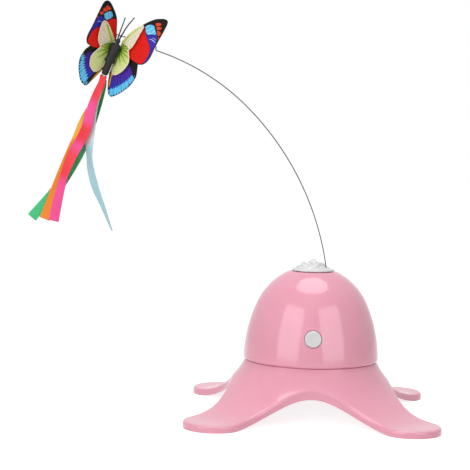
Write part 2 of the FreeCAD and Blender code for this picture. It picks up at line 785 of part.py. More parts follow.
class GearTrain:
    """Places, heights and phases of the gears, worked out from the output back to the motor."""

    def __init__(self):
        wheel = int(dim("wheel_teeth"))
        pinion = int(dim("pinion_teeth"))
        centre = dim("tooth_module") * (wheel + pinion) / 2
        directions = [math.radians(d) for d in TRAIN_DIRECTIONS]
        steps = [Vector(math.cos(d), math.sin(d), 0) * centre for d in directions]
        self.second = steps[0]
        self.first = steps[0] + steps[1]
        self.motor = steps[0] + steps[1] + steps[2]
        self.second_phase = meshing_phase(wheel, 0, pinion, directions[0])
        self.first_phase = meshing_phase(wheel, 0, pinion, directions[1])
        self.motor_phase = meshing_phase(wheel, 0, pinion, directions[2])
        floor = plate_top + dim("gear_float")
        wall = dim("wheel_wall")
        over = dim("mesh_overrun")
        self.first_wheel = (floor + 0.7, floor + 0.7 + wall)
        self.second_wheel = (self.first_wheel[1] + 1.3, self.first_wheel[1] + 1.3 + wall)
        self.output_wheel = (self.second_wheel[1] + 1.0, self.second_wheel[1] + 1.0 + wall)
        self.first_pinion_top = self.second_wheel[1] + over
        self.second_pinion_top = self.output_wheel[1] + over
        self.motor_pinion = (self.first_wheel[0] - over, self.first_wheel[1] + over)
        self.floor = floor
        self.ceiling = plate_top + dim("plate_space") - dim("gear_float")


train = GearTrain()


def make_output_gear():
    """The last wheel, pressed on the spindle."""
    low, high = train.output_wheel
    shape = gear(int(dim("wheel_teeth")), 0, low, high)
    shape = shape.cut(rod(dim("spindle_radius") + dim("seat_gap"), low - 1, high + 1))
    return keep("output_gear", solid("output_wheel", shape))


def idler(name, wheel, pinion_top, phase, place):
    """A moulded wheel and pinion on one pin, with spacer hubs above and below."""
    hub = dim("pin_radius") + dim("running_gap") + 0.7
    shape = gear(int(dim("wheel_teeth")), 0, *wheel)
    shape = shape.fuse([
        gear(int(dim("pinion_teeth")), phase, wheel[1], pinion_top),
        rod(hub, train.floor, wheel[0]),
        rod(hub, pinion_top, train.ceiling),
    ])
    shape = shape.cut(rod(dim("pin_radius") + dim("running_gap"), train.floor - 1, train.ceiling + 1))
    feature = solid(name + "_form", shape)
    feature.Placement = Placement(place, Rotation())
    return keep(name, feature)


def make_motor_pinion():
    """The brass pinion on the motor's shaft."""
    low, high = train.motor_pinion
    shape = gear(int(dim("pinion_teeth")), train.motor_phase, low, high)
    shape = shape.cut(rod(dim("shaft_radius") + dim("seat_gap"), low - 1, high + 1))
    feature = solid("pinion_form", shape)
    feature.Placement = Placement(train.motor, Rotation())
    return keep("motor_pinion", feature)


def at(place, height):
    """A point above a place in plan."""
    return Vector(place.x, place.y, height)


def make_output_spindle():
    """The steel spindle with the collar that rests on the lower plate."""
    low = gearbox_low - 1.5
    shaft = cylinder("spindle_rod", Vector(0, 0, low), "dims.spindle_radius", "%g" % (spindle_top - low))
    collar = cylinder("spindle_collar", Vector(0, 0, train.floor), "dims.collar_radius", "0.6")
    return keep("output_spindle", fuse("spindle_body", [shaft, collar]))


def make_spindle_bush():
    """The brass bush in the upper plate."""
    low = plate_top + dim("plate_space")
    tube = cylinder("bush_tube", Vector(0, 0, low), "dims.bush_radius", "dims.plate_wall + 0.8")
    flange = cylinder("bush_flange", Vector(0, 0, low + dim("plate_wall")), "dims.bush_radius + 1.6", "0.8")
    bore = cylinder("bush_bore", Vector(0, 0, low - 1), "dims.spindle_radius + dims.running_gap",
                    "2 * dims.plate_wall + 2")
    return keep("spindle_bush", cut("bush_cut", fuse("bush_body", [tube, flange]), [bore]))


def make_idler_pins():
    """Two steel pins held in both plates."""
    pins = []
    for number, place in enumerate((train.second, train.first), 1):
        pins.append(cylinder("idler_pin%d" % number, at(place, gearbox_low), "dims.pin_radius",
                             "dims.plate_space + 2 * dims.plate_wall"))
    return keep("idler_pins", group("pin_set", pins))


def make_lower_gear_plate():
    """The lower plate with its three pillars and the motor's seat."""
    low = gearbox_low
    adds = [cylinder("lower_disc", Vector(0, 0, low), "dims.lower_plate", "dims.plate_wall")]
    takes = pin_holes("lower", low)
    takes.append(cylinder("lower_bearing", Vector(0, 0, low - 1), "dims.spindle_radius + dims.running_gap",
                          "dims.plate_wall + 2"))
    takes.append(cylinder("motor_seat", at(train.motor, low - 1), "%g" % (motor_boss + dim("seat_gap")),
                          "dims.plate_wall + 2"))
    for number, place in enumerate(motor_bolts(), 1):
        takes.append(cylinder("motor_bolt_hole%d" % number, at(place, low - 1),
                              "dims.screw_radius + dims.running_gap", "dims.plate_wall + 2"))
    for number, degrees in enumerate(PILLARS, 1):
        place = polar(dim("pillar_reach"), degrees, low)
        adds.append(cylinder("pillar%d" % number, place, "dims.gearbox_boss",
                             "dims.plate_wall + dims.plate_space"))
        takes.append(cylinder("pillar_hole%d" % number, place - Vector(0, 0, 1),
                              "dims.screw_radius + dims.running_gap", "dims.plate_wall + dims.plate_space + 2"))
    return keep("lower_gear_plate", cut("lower_plate_cut", fuse("lower_plate_body", adds), takes))


def make_upper_gear_plate():
    """The upper plate, which holds the bush and the pins' upper ends."""
    low = plate_top + dim("plate_space")
    disc = cylinder("upper_disc", Vector(0, 0, low), "dims.upper_plate", "dims.plate_wall")
    takes = pin_holes("upper", low)
    takes.append(cylinder("bush_seat", Vector(0, 0, low - 1), "dims.bush_radius + dims.seat_gap",
                          "dims.plate_wall + 2"))
    for number, degrees in enumerate(PILLARS, 1):
        takes.append(cylinder("upper_screw_hole%d" % number, polar(dim("pillar_reach"), degrees, low - 1),
                              "dims.screw_radius + dims.running_gap", "dims.plate_wall + 2"))
    return keep("upper_gear_plate", cut("upper_plate_cut", disc, takes))


def pin_holes(name, low):
    """Holes for the two idler pins through a plate."""
    holes = []
    for number, place in enumerate((train.second, train.first), 1):
        holes.append(cylinder("%s_pin_hole%d" % (name, number), at(place, low - 1),
                              "dims.pin_radius + dims.seat_gap", "dims.plate_wall + 2"))
    return holes


def make_gearbox_screws():
    """Three long screws through plates and pillars into the dome's bosses."""
    screws = []
    length = gearbox_top - gearbox_low + 4
    for number, degrees in enumerate(PILLARS, 1):
        base = polar(dim("pillar_reach"), degrees, gearbox_low - dim("head_height"))
        screws.append(screw("gearbox_screw%d" % number, base, length))
    return keep("gearbox_screws", group("gearbox_screw_set", screws))


# Motor

def motor_bolts():
    """Places of the two screws that hold the motor."""
    return [train.motor + Vector(0, side * dim("motor_bolt_reach"), 0) for side in (-1, 1)]


def can_block(name, radius, across, low, height):
    """A round block with two flats, about the motor's axis."""
    place = at(train.motor, low)
    barrel = cylinder(name + "_barrel", place, radius, height)
    slab = box(name + "_slab", place - Vector(dim("can_radius"), 0, 0), "2 * dims.can_radius", across, height)
    slab.setExpression("Placement.Base.y", "%g - (%s) / 2" % (train.motor.y, across))
    return common(name, barrel, slab)


def make_motor_can():
    """The steel can, closed at the top, with the boss that seats in the lower plate."""
    low = gearbox_low - dim("can_length")
    outer = can_block("can_outer", "dims.can_radius", "dims.can_flat", low, "dims.can_length")
    boss = cylinder("can_boss", at(train.motor, gearbox_low - sink), "%g" % motor_boss, "1.2")
    inner = can_block("can_inner", "dims.can_radius - dims.can_wall", "dims.can_flat - 2 * dims.can_wall",
                      low - 1, "dims.can_length + 1 - dims.can_wall")
    bore = cylinder("can_bore", at(train.motor, low), "dims.shaft_radius + dims.running_gap",
                    "2 * dims.can_length")
    takes = [inner, bore]
    for number, place in enumerate(motor_bolts(), 1):
        takes.append(cylinder("can_bolt_hole%d" % number, at(place, low), "dims.screw_radius + dims.running_gap",
                              "2 * dims.can_length"))
    return keep("motor_can", cut("can_cut", fuse("can_body", [outer, boss]), takes))


def make_motor_end_bell():
    """The white plastic bell that closes the can and carries the brushes."""
    outer = can_block("bell_outer", "dims.can_radius", "dims.can_flat", motor_bottom, "dims.bell_length")
    bore = cylinder("bell_bore", at(train.motor, motor_bottom + 1.5), "dims.shaft_radius + dims.running_gap",
                    "dims.bell_length")
    takes = [bore]
    for number, place in enumerate(terminal_places(), 1):
        corner = place - Vector(1.5, 0.4, 1)
        takes.append(box("terminal_slot%d" % number, corner, "3", "0.8", "3"))
    return keep("motor_end_bell", cut("bell_cut", outer, takes))


def terminal_places():
    """Where the two terminals leave the bell."""
    return [at(train.motor, motor_bottom) + Vector(side * terminal_side, 0, 0) for side in (-1, 1)]


def make_motor_terminals():
    """Two tinned lugs."""
    lugs = []
    for number, place in enumerate(terminal_places(), 1):
        lugs.append(box("terminal%d" % number, place - Vector(1.4, 0.3, 2.5), "2.8", "0.6", "4.3"))
    return keep("motor_terminals", group("terminal_set", lugs))


def make_motor_magnets():
    """Two curved magnets inside the can."""
    low = gearbox_low - dim("can_length") + 1.5
    place = at(train.motor, low)
    ring = cylinder("magnet_ring", place, "dims.can_radius - dims.can_wall - dims.running_gap",
                    "dims.can_length - 4")
    core = cylinder("magnet_core", place - Vector(0, 0, 1),
                    "dims.can_radius - dims.can_wall - dims.magnet_wall", "dims.can_length")
    arcs = []
    for side in (-1, 1):
        name = "right" if side > 0 else "left"
        low_x = min(4 * side, 4 * side + dim("can_radius") * side)
        reach = box(name + "_magnet_span", place + Vector(low_x, -6, 0), "dims.can_radius", "12",
                    "dims.can_length")
        arcs.append(common(name + "_magnet", cut(name + "_magnet_ring", ring, [core]), reach))
    return keep("motor_magnets", group("magnet_set", arcs))


def make_motor_shaft():
    """The motor's shaft, from the bell's bearing to the pinion."""
    low = motor_bottom + 1.6
    high = train.motor_pinion[1] + 0.2
    return keep("motor_shaft", cylinder("shaft_rod", at(train.motor, low), "dims.shaft_radius",
                                        "%g" % (high - low)))


def make_motor_armature():
    """The wound armature with three winding slots."""
    low = gearbox_low - dim("can_length") + 2.5
    place = at(train.motor, low)
    core = cylinder("armature_core", place, "dims.armature_radius", "dims.can_length - 6")
    takes = [cylinder("armature_bore", place - Vector(0, 0, 1), "dims.shaft_radius + dims.seat_gap",
                      "dims.can_length")]
    for number in range(3):
        slot = box("armature_slot%d" % (number + 1), Vector(0, 0, 0), "4", "1.4", "dims.can_length")
        turn = Rotation(Vector(0, 0, 1), 120 * number)
        slot.Placement = Placement(place + turn.multVec(Vector(dim("armature_radius") - 2.4, -0.7, -1)), turn)
        takes.append(slot)
    return keep("motor_armature", cut("armature_cut", core, takes))


def make_motor_screws():
    """Two short screws from the lower plate down into the motor."""
    screws = []
    for number, place in enumerate(motor_bolts(), 1):
        head = cylinder("motor_screw_head%d" % number, at(place, plate_top), "dims.screw_head - 0.7", "0.7")
        shank = cylinder("motor_screw_shank%d" % number, at(place, plate_top - dim("plate_wall") - 0.7),
                         "dims.screw_radius", "dims.plate_wall + 0.8")
        screws.append(fuse("motor_screw%d" % number, [head, shank]))
    return keep("motor_screws", group("motor_screw_set", screws))


# Batteries

def make_battery_tray():
    """The open-bottomed tray under the deck, with its two ears and the door's screw boss."""
    floor = tray_floor
    tall = deck_under - floor
    wall = dim("tray_wall")
    half = tray_half + wall
    side = tray_side + wall
    outer = box("tray_outer", Vector(-half, -side, floor), "%g" % (2 * half), "%g" % (2 * side), "%g" % tall)
    inner = box("tray_inner", Vector(-tray_half, -tray_side, floor - 1), "%g" % (2 * tray_half),
                "%g" % (2 * tray_side), "%g" % (tall + 1 - tray_roof))
    boss = Vector(0, -door_screw_reach, floor)
    adds = [outer, cylinder("door_boss", boss, "dims.screw_radius + dims.screw_wall", "%g" % tall)]
    takes = [inner, cylinder("door_boss_hole", boss - Vector(0, 0, 1), "dims.screw_radius + dims.running_gap", "12")]
    for sign in (-1, 1):
        name = "right" if sign > 0 else "left"
        place = Vector(sign * ear_reach, 0, deck_under - dim("deck_wall"))
        low = min(sign * (half - sink), sign * ear_reach)
        adds.append(cylinder(name + "_ear", place, "dims.screw_radius + dims.screw_wall", "dims.deck_wall"))
        adds.append(box(name + "_ear_web", Vector(low, -dim("screw_radius") - dim("screw_wall"), place.z),
                        "dims.ear_reach + %g" % sink, "2 * (dims.screw_radius + dims.screw_wall)",
                        "dims.deck_wall"))
        takes.append(cylinder(name + "_ear_hole", place - Vector(0, 0, 1), "dims.screw_radius + dims.button_gap",
                              "2 * dims.deck_wall"))
    return keep("battery_tray", cut("tray_cut", fuse("tray_body", adds), takes))


def make_battery_cells():
    """Three round cells side by side, turned end for end."""
    cells = []
    for number in range(3):
        sign = 1 if number % 2 == 0 else -1
        place = Vector(sign * (tray_half - dim("contact_wall") - dim("cell_length")),
                       (number - 1) * dim("cell_pitch"), cell_height)
        along = Vector(sign, 0, 0)
        length = dim("cell_length") - dim("nub_length")
        can = cylinder("cell_can%d" % (number + 1), place, "dims.cell_radius",
                       "dims.cell_length - dims.nub_length", along)
        nub = cylinder("cell_nub%d" % (number + 1), place + along * (length - sink), "dims.nub_radius",
                       "dims.nub_length + %g" % sink, along)
        cells.append(fuse("cell%d" % (number + 1), [can, nub]))
    return keep("battery_cells", group("cell_set", cells))


def contact_plate(name, sign, first, last):
    """A flat contact at one end of the tray that spans one cell or two."""
    pitch = dim("cell_pitch")
    low = min(sign * tray_half, sign * (tray_half - dim("contact_wall")))
    corner = Vector(low, (first - 1) * pitch - 5.5, cell_height - 6)
    width = (last - first) * pitch + 11
    return box(name, corner, "dims.contact_wall", "%g" % width, "12")


def make_battery_contacts():
    """Four plates that join the cells in a row, one after the other."""
    plates = [
        contact_plate("end_contact1", -1, 0, 0),
        contact_plate("bridge_contact1", 1, 0, 1),
        contact_plate("bridge_contact2", -1, 1, 2),
        contact_plate("end_contact2", 1, 2, 2),
    ]
    return keep("battery_contacts", group("contact_set", plates))


def sweep(edges, radius):
    """A round rod along a chain of edges; its volume must match section times length."""
    path = Part.Wire(edges)
    start = edges[0].valueAt(edges[0].FirstParameter)
    along = edges[0].tangentAt(edges[0].FirstParameter)
    ring = Part.Wire([Part.Circle(start, along, radius).toShape()])
    shape = path.makePipeShell([ring], True, False)
    wanted = math.pi * radius ** 2 * path.Length
    if not shape.isValid() or abs(shape.Volume / wanted - 1) > 0.02:
        raise ValueError("swept rod of %.3f for %.3f" % (shape.Volume, wanted))
    return shape


def coil(start, along, side, radius, pitch, half_turns):
    """Half turns of a coil: each is one arc through its start, middle and end."""
    across = along.cross(side)
    edges = []
    for number in range(half_turns):
        points = []
        for part in (0, 0.5, 1):
            turn = math.pi * (number + part)
            drift = along * (pitch * (number + part) / 2)
            points.append(start + drift + side * (radius * math.cos(turn)) + across * (radius * math.sin(turn)))
        edges.append(Part.Arc(*points).toShape())
    return edges


def make_battery_springs():
    """A coil spring behind the flat end of each cell."""
    springs = []
    half_turns = 5
    wire = dim("spring_wire")
    pitch = 2 * (dim("tray_room") - 2 * wire) / half_turns
    for number in range(3):
        sign = 1 if number % 2 == 0 else -1
        start = Vector(-sign * (tray_half - dim("contact_wall") - wire), (number - 1) * dim("cell_pitch"),
                       cell_height)
        edges = coil(start, Vector(sign, 0, 0), Vector(0, 0, 1), dim("spring_radius"), pitch, half_turns)
        springs.append(solid("battery_spring%d" % (number + 1), sweep(edges, wire)))
    return keep("battery_springs", group("spring_set", springs))


def make_battery_door():
    """The flat door with two locating ribs and an ear for its screw."""
    wall = dim("door_wall")
    half = tray_half + dim("tray_wall")
    side = tray_side + dim("tray_wall")
    low = tray_floor - wall
    adds = [box("door_plate", Vector(-half, -side, low), "%g" % (2 * half), "%g" % (2 * side), "dims.door_wall")]
    for sign in (-1, 1):
        near = tray_side - dim("running_gap") * 2
        corner = Vector(-tray_half + 6, min(sign * near, sign * (near - 1.5)), tray_floor - sink)
        adds.append(box("door_rib%d" % (sign + 2), corner, "%g" % (2 * tray_half - 12), "1.5", "1.7"))
    ear = Vector(0, -door_screw_reach, low)
    adds.append(cylinder("door_ear", ear, "dims.screw_radius + dims.screw_wall + 0.8", "dims.door_wall"))
    adds.append(box("door_ear_web", Vector(-4, -door_screw_reach, low), "8", "dims.door_boss_reach",
                    "dims.door_wall"))
    hole = cylinder("door_ear_hole", ear - Vector(0, 0, 1), "dims.screw_radius + dims.running_gap",
                    "dims.door_wall + 2")
    return keep("battery_door", cut("door_cut", fuse("door_body", adds), [hole]))


def make_door_screw():
    """The door's screw, which stays in the door."""
    base = Vector(0, -door_screw_reach, tray_floor - dim("door_wall") - dim("head_height"))
    return keep("door_screw", screw("door_screw_form", base, 9.0))


def make_tray_screws():
    """Two screws up through the tray's ears into the deck."""
    screws = []
    length = 2 * dim("deck_wall") + dim("neck_lip") - 1.2
    for number, sign in enumerate((-1, 1), 1):
        base = Vector(sign * ear_reach, 0, deck_under - dim("deck_wall") - dim("head_height"))
        screws.append(screw("tray_screw%d" % number, base, length))
    return keep("tray_screws", group("tray_screw_set", screws))


# Leads

def rounded_path(corners):
    """Straight runs joined by tangent arcs."""
    points = [Vector(*corner) for corner in corners]
    here = points[0]
    edges = []
    for before, corner, after in zip(points, points[1:], points[2:]):
        come = corner - before
        leave = after - corner
        trim = 0.45 * min(come.Length, leave.Length)
        half_turn = come.getAngle(leave) / 2
        bend = trim / math.tan(half_turn)
        come.normalize()
        leave.normalize()
        inward = (leave - come).normalize()
        start = corner - come * trim
        end = corner + leave * trim
        middle = corner + inward * (bend / math.cos(half_turn) - bend)
        edges.append(Part.LineSegment(here, start).toShape())
        edges.append(Part.Arc(start, middle, end).toShape())
        here = end
    edges.append(Part.LineSegment(here, points[-1]).toShape())
    return edges


def make_battery_leads():
    """Two leads from the tray, up through the deck and forward to the board's back."""
    leads = []
    wall = tray_side + dim("tray_wall")
    back = board_front + dim("board_wall")
    for number, sign in enumerate((-1, 1), 1):
        edges = rounded_path([
            (1.2 * sign, wall, lead_low),
            (1.2 * sign, lead_reach, lead_low),
            (1.2 * sign, lead_reach, lead_high),
            (6.0 * sign, 10, lead_high),
            (6.0 * sign, back + 8, battery_pads),
            (6.0 * sign, back, battery_pads),
        ])
        leads.append(solid("battery_lead%d" % number, sweep(edges, dim("lead_radius"))))
    return keep("battery_leads", group("battery_lead_set", leads))


def make_motor_leads():
    """Two leads from the motor's lugs down and forward to the board's back."""
    leads = []
    back = board_front + dim("board_wall")
    for number, place in enumerate(terminal_places(), 1):
        sign = -1 if number == 1 else 1
        start = place - Vector(0, 0, 2.5)
        edges = rounded_path([
            (start.x, start.y, start.z),
            (start.x, start.y, start.z - 3.4),
            (start.x, 0, start.z - 3.4),
            (8.0 * sign, back + 8, motor_pads),
            (8.0 * sign, back, motor_pads),
        ])
        leads.append(solid("motor_lead%d" % number, sweep(edges, dim("lead_radius"))))
    return keep("motor_leads", group("motor_lead_set", leads))


# Wand

class Wand:
    """The planar path of the wand: its edges, the eye's place and the straight tip's direction."""

    def __init__(self):
        self.edges = []
        self.heading = math.radians(dim("wand_lean"))
        self.root = Vector(dim("wand_reach"), 0, dim("wand_start"))
        self.root_along = self.along()
        self.here = self.root - self.root_along * dim("socket_depth")
        self.straight(dim("socket_depth"))
        self.turn(dim("wand_low_arc"), math.radians(dim("wand_low_turn")))
        self.turn(dim("wand_high_arc"), math.radians(dim("wand_high_turn")))
        self.turn(dim("kick_arc"), math.radians(dim("kick_lean")) - self.heading)
        self.straight(dim("kick_run"))
        self.turn(dim("kick_arc"), math.radians(dim("tip_lean")) - self.heading)
        self.tip_along = self.along()
        self.tip_start = self.here
        self.straight(dim("tip_run"))
        self.eye = self.tip_start + self.tip_along * dim("eye_place")

    def along(self):
        """Unit vector along the present heading."""
        return Vector(-math.sin(self.heading), 0, math.cos(self.heading))

    def straight(self, length):
        """Adds a straight run."""
        there = self.here + self.along() * length
        self.edges.append(Part.LineSegment(self.here, there).toShape())
        self.here = there

    def turn(self, radius, angle):
        """Adds an arc; a positive angle leans the wand further to the left."""
        side = radius if angle > 0 else -radius
        centre = self.here - Vector(math.cos(self.heading), 0, math.sin(self.heading)) * side
        points = [self.here]
        for part in (0.5, 1):
            lean = self.heading + angle * part
            points.append(centre + Vector(math.cos(lean), 0, math.sin(lean)) * side)
        self.edges.append(Part.Arc(*points).toShape())
        self.heading += angle
        self.here = points[2]


wand = Wand()


def make_wand_wire():
    """The long spring-steel wire."""
    return keep("wand_wire", solid("wand_rod", sweep(wand.edges, dim("wire_radius"))))


def make_wand_beads():
    """Two crimp beads on the tip that keep the hanger eye in its place."""
    beads = []
    clear = dim("eye_wire") + 0.3
    for number, sign in enumerate((-1, 1), 1):
        low = clear if sign > 0 else -clear - dim("bead_length")
        start = wand.eye + wand.tip_along * low
        bead = cylinder("bead%d" % number, start, "dims.bead_radius", "dims.bead_length", wand.tip_along)
        bore = cylinder("bead_bore%d" % number, start - wand.tip_along, "dims.wire_radius + dims.seat_gap",
                        "dims.bead_length + 2", wand.tip_along)
        beads.append(cut("crimp_bead%d" % number, bead, [bore]))
    return keep("wand_beads", group("bead_set", beads))


def make_rotor_cap():
    """The white cap: flange, plug, pointed knob and a flower of twisted folds."""
    body = doc.addObject("PartDesign::Body", "cap_turning")
    rim = dim("cap_radius")
    plug = dim("cap_plug")
    low = cap_base - dim("cap_depth")
    crown = cap_base + dim("cap_crown") - 1.4
    knob = dim("knob_radius")
    peak = cap_base + dim("knob_height")
    tip_half = 0.9
    tip_fall = 0.5
    revolve(body, "cap", (0, low), [
        (plug, low),
        (plug, cap_base),
        (rim, cap_base),
        (rim, cap_base + 0.9),
        (rim - 0.8, cap_base + dim("cap_edge") + 0.2, 1.0, 1),
        (rim - 5.5, crown - 0.6),
        (knob, crown),
        (tip_half, peak - tip_fall),
        (0, peak, (tip_half ** 2 + tip_fall ** 2) / (2 * tip_fall), 1),
        (0, low),
    ])
    adds = [body]
    spine = Part.Arc(Vector(knob + 0.3, 0, crown + 0.3), Vector(8.2, -dim("fold_bow"), crown + 0.3),
                     Vector(rim - 1.8, 0, crown - 2.3)).toShape()
    for number in range(int(dim("fold_count"))):
        fold = solid("cap_fold%d" % (number + 1), sweep([spine], dim("fold_radius")))
        turn = Rotation(Vector(0, 0, 1), 360 * number / dim("fold_count") + 30)
        fold.Placement = Placement(Vector(0, 0, 0), turn)
        adds.append(fold)
    bore = cylinder("cap_bore", Vector(0, 0, low - 1), "dims.spindle_radius + dims.seat_gap", "dims.cap_depth + 1.2")
    deep = wand.root - wand.root_along * dim("socket_depth")
    socket = cylinder("wand_socket", deep, "dims.wire_radius + dims.running_gap", "dims.socket_depth + 4",
                      wand.root_along)
    return keep("rotor_cap", cut("cap_cut", fuse("cap_body", adds), [bore, socket]))


# Butterfly: local X to its left wing's side is negative, Z runs to its head, Y to its back

perch = Placement(wand.eye - Vector(0, dim("body_front"), 0), Rotation(Vector(0, 1, 0), dim("butterfly_lean")))


def perched(name, shape):
    """A free form drawn in the butterfly's own frame."""
    feature = solid(name, shape)
    feature.Placement = perch
    return feature


def swell(rise, run):
    """Radius of an arc that starts along the axis and leaves that direction by rise over run."""
    return (rise * rise + run * run) / (2 * rise)


def make_butterfly_body():
    """The black body: head, thorax and abdomen, with a spine that holds the hanger eye and two feelers."""
    turned = doc.addObject("PartDesign::Body", "butterfly_turning")
    head = -dim("head_drop")
    tail = -dim("tail_drop")
    chest = dim("thorax_radius")
    chest_height = -12.2
    waist_top = -15.0
    neck = head - 4.2
    revolve(turned, "torso", (0, tail), [
        (1.7, tail + 1.5, 1.9, 1),
        (dim("abdomen_radius"), -20, 60, 1),
        (dim("waist_radius"), -16.4, 8, 1),
        (dim("waist_radius") + 0.1, waist_top, 1.6, -1),
        (chest, chest_height, swell(chest - dim("waist_radius") - 0.1, chest_height - waist_top), 1),
        (1.6, neck, swell(chest - 1.6, neck - chest_height), 1),
        (1.7, head - 3.5, 0.8, -1),
        (0, head, dim("head_radius"), 1),
        (0, tail),
    ])
    turned.Placement = perch
    spine = Part.makeBox(2 * (dim("root_side") - 0.2), dim("body_front") - 0.4, 22.4,
                         Vector(-dim("root_side") + 0.2, 1.0, -24))
    feelers = []
    for bend, tip in ((Vector(-1.9, -1.4, 6.5), Vector(-2.2, -2.4, 13.4)),
                      (Vector(1.9, -1.4, 8.0), Vector(4.0, -2.4, 16.0))):
        side = 0.7 if tip.x > 0 else -0.7
        edge = Part.Arc(Vector(side, -0.5, head - 0.6), bend, tip).toShape()
        feelers.append(sweep([edge], dim("feeler_radius")))
    extras = perched("spine_and_feelers", spine.fuse(feelers))
    seat = perched("eye_seat", Part.makeTorus(dim("eye_radius"), dim("eye_wire") + dim("seat_gap"),
                                              Vector(0, dim("body_front"), 0), eye_axis()))
    return keep("butterfly_body", cut("butterfly_cut", fuse("butterfly_form", [turned, extras]), [seat]))


def eye_axis():
    """The wand tip's direction in the butterfly's frame."""
    return perch.Rotation.inverted().multVec(wand.tip_along)


def make_hanger_eye():
    """The wire eye on the spine that runs on the wand."""
    ring = Part.makeTorus(dim("eye_radius"), dim("eye_wire"), Vector(0, dim("body_front"), 0), eye_axis())
    return keep("hanger_eye", perched("eye_ring", ring))


def make_tail_loop():
    """The wire loop at the tail that the ribbons' knot passes through."""
    ring = Part.makeTorus(dim("loop_radius"), dim("loop_wire"), Vector(0, 0, loop_height), Vector(1, 0, 0))
    return keep("tail_loop", perched("loop_ring", ring))


loop_height = -dim("tail_drop") - dim("loop_radius") - dim("loop_wire") - 0.02


def film_depth(side, x, z, lift, ahead):
    """Local Y of the middle of a wing's film."""
    slope = dim("right_slope")
    if side < 0:
        share = (z + 45) / 70
        slope = dim("left_slope_low") + (dim("left_slope_high") - dim("left_slope_low")) * share
    return dim("root_back") - ahead - (abs(x) - dim("root_side")) * math.tan(math.radians(slope + lift))


def film_slab(side, lift, ahead):
    """A sheet that follows the film's slope, wider than the wing."""
    half = dim("film_wall") / 2 / math.cos(math.radians(dim("right_slope") + lift))
    sections = []
    for z in (-50, -27, -4, 12, 28):
        ends = [side * (dim("root_side") + 0.1), side * 34.0]
        depths = [film_depth(side, x, z, lift, ahead) for x in ends]
        corners = [
            Vector(ends[0], depths[0] - half, z), Vector(ends[1], depths[1] - half, z),
            Vector(ends[1], depths[1] + half, z), Vector(ends[0], depths[0] + half, z),
        ]
        sections.append(Part.makePolygon(corners + corners[:1]))
    return Part.makeLoft(sections, True, False)


def wing(name, side, curves, lift, ahead):
    """A film wing: smooth curves joined at corners, closed along the root."""
    edges = []
    for points in curves:
        flat = [Vector(x, -45, z) for x, z in points]
        if len(flat) == 2:
            edges.append(Part.LineSegment(*flat).toShape())
        else:
            curve = Part.BSplineCurve()
            curve.interpolate(flat)
            edges.append(curve.toShape())
    start = Vector(curves[0][0][0], -45, curves[0][0][1])
    end = Vector(curves[-1][-1][0], -45, curves[-1][-1][1])
    edges.append(Part.LineSegment(end, start).toShape())
    prism = Part.Face(Part.Wire(edges)).extrude(Vector(0, 60, 0))
    return keep(name, perched(name + "_film", film_slab(side, lift, ahead).common(prism)))


def make_wings():
    """Two large dark wings and, in front of them, two smaller pale ones."""
    lift = dim("inner_lift")
    ahead = dim("inner_gap")
    wing("right_wing", 1, [
        [(2.5, -2.9), (6.2, 4.7), (12.7, 13.3), (19.0, 19.4), (23.7, 21.8), (27.7, 22.7), (29.8, 20.8),
         (29.5, 14.4), (28.1, 3.2), (27.3, -7.8), (24.6, -13.1), (20.7, -14.8)],
        [(20.7, -14.8), (22.5, -20.9), (22.9, -24.3), (21.3, -31.0), (17.6, -37.2), (14.1, -41.3),
         (10.7, -43.8), (7.8, -42.4), (5.1, -37.3), (2.5, -28.5)],
    ], 0, 0)
    wing("left_wing", -1, [
        [(-2.5, -2.3), (-4.0, 2.0), (-7.2, 10.8), (-12.2, 17.0), (-15.4, 19.2), (-17.9, 16.9), (-18.8, 8.9),
         (-19.5, -1.4), (-20.3, -9.9), (-19.0, -14.5), (-16.4, -15.6)],
        [(-16.4, -15.6), (-18.5, -19.6), (-19.6, -26.6), (-18.3, -33.2), (-15.0, -40.0), (-12.0, -42.9),
         (-9.4, -43.3), (-7.5, -39.6), (-5.8, -35.3), (-3.8, -30.1), (-2.5, -26.0)],
    ], 0, 0)
    wing("right_inner_wing", 1, [
        [(2.5, -4.7), (3.5, -0.6), (5.8, 4.4), (9.0, 9.1), (12.6, 12.8), (14.2, 11.6), (13.8, 7.2),
         (12.1, -3.5), (10.1, -7.8)],
        [(10.1, -7.8), (13.4, -14.4), (13.6, -18.5), (11.9, -23.4), (9.4, -26.7), (6.9, -28.5), (4.6, -27.9),
         (2.5, -24.5)],
    ], lift, ahead)
    wing("left_inner_wing", -1, [
        [(-2.5, -5.2), (-5.6, -1.1), (-8.4, 2.3), (-10.7, 4.6), (-12.5, 5.4), (-14.0, 3.5), (-13.9, -2.9),
         (-12.6, -9.6), (-9.8, -13.3)],
        [(-9.8, -13.3), (-12.9, -20.8), (-12.8, -24.9), (-11.8, -28.5), (-10.0, -30.7), (-7.4, -31.9),
         (-5.0, -29.7), (-2.5, -24.0)],
    ], lift, ahead)


# Ribbons

def make_ribbon_knot():
    """The knot: two small bulges joined by a waist that runs in the tail loop."""
    body = doc.addObject("PartDesign::Body", "knot_turning")
    waist = dim("knot_waist")
    big = dim("knot_radius")
    near = dim("loop_wire") + 0.3
    far = near + 2.0
    revolve(body, "knot", (0, -far), [
        (big * 0.45, -far),
        (big, -(near + far) / 2, big * 0.9, 1),
        (big * 0.8, -near, big * 0.9, 1),
        (waist, -near),
        (waist, near),
        (big * 0.8, near),
        (big, (near + far) / 2, big * 0.9, 1),
        (big * 0.45, far, big * 0.9, 1),
        (0, far),
        (0, -far),
    ])
    turn = Rotation(Vector(0, 1, 0), dim("butterfly_lean") + 90)
    body.Placement = Placement(perch.multVec(Vector(0, 0, loop_height)), turn)
    return keep("ribbon_knot", body)


def between(share, stops):
    """Value at a share from a list of (share, value) stops."""
    for (low, start), (high, end) in zip(stops, stops[1:]):
        if share <= high:
            return start + (end - start) * (share - low) / (high - low)
    return stops[-1][1]


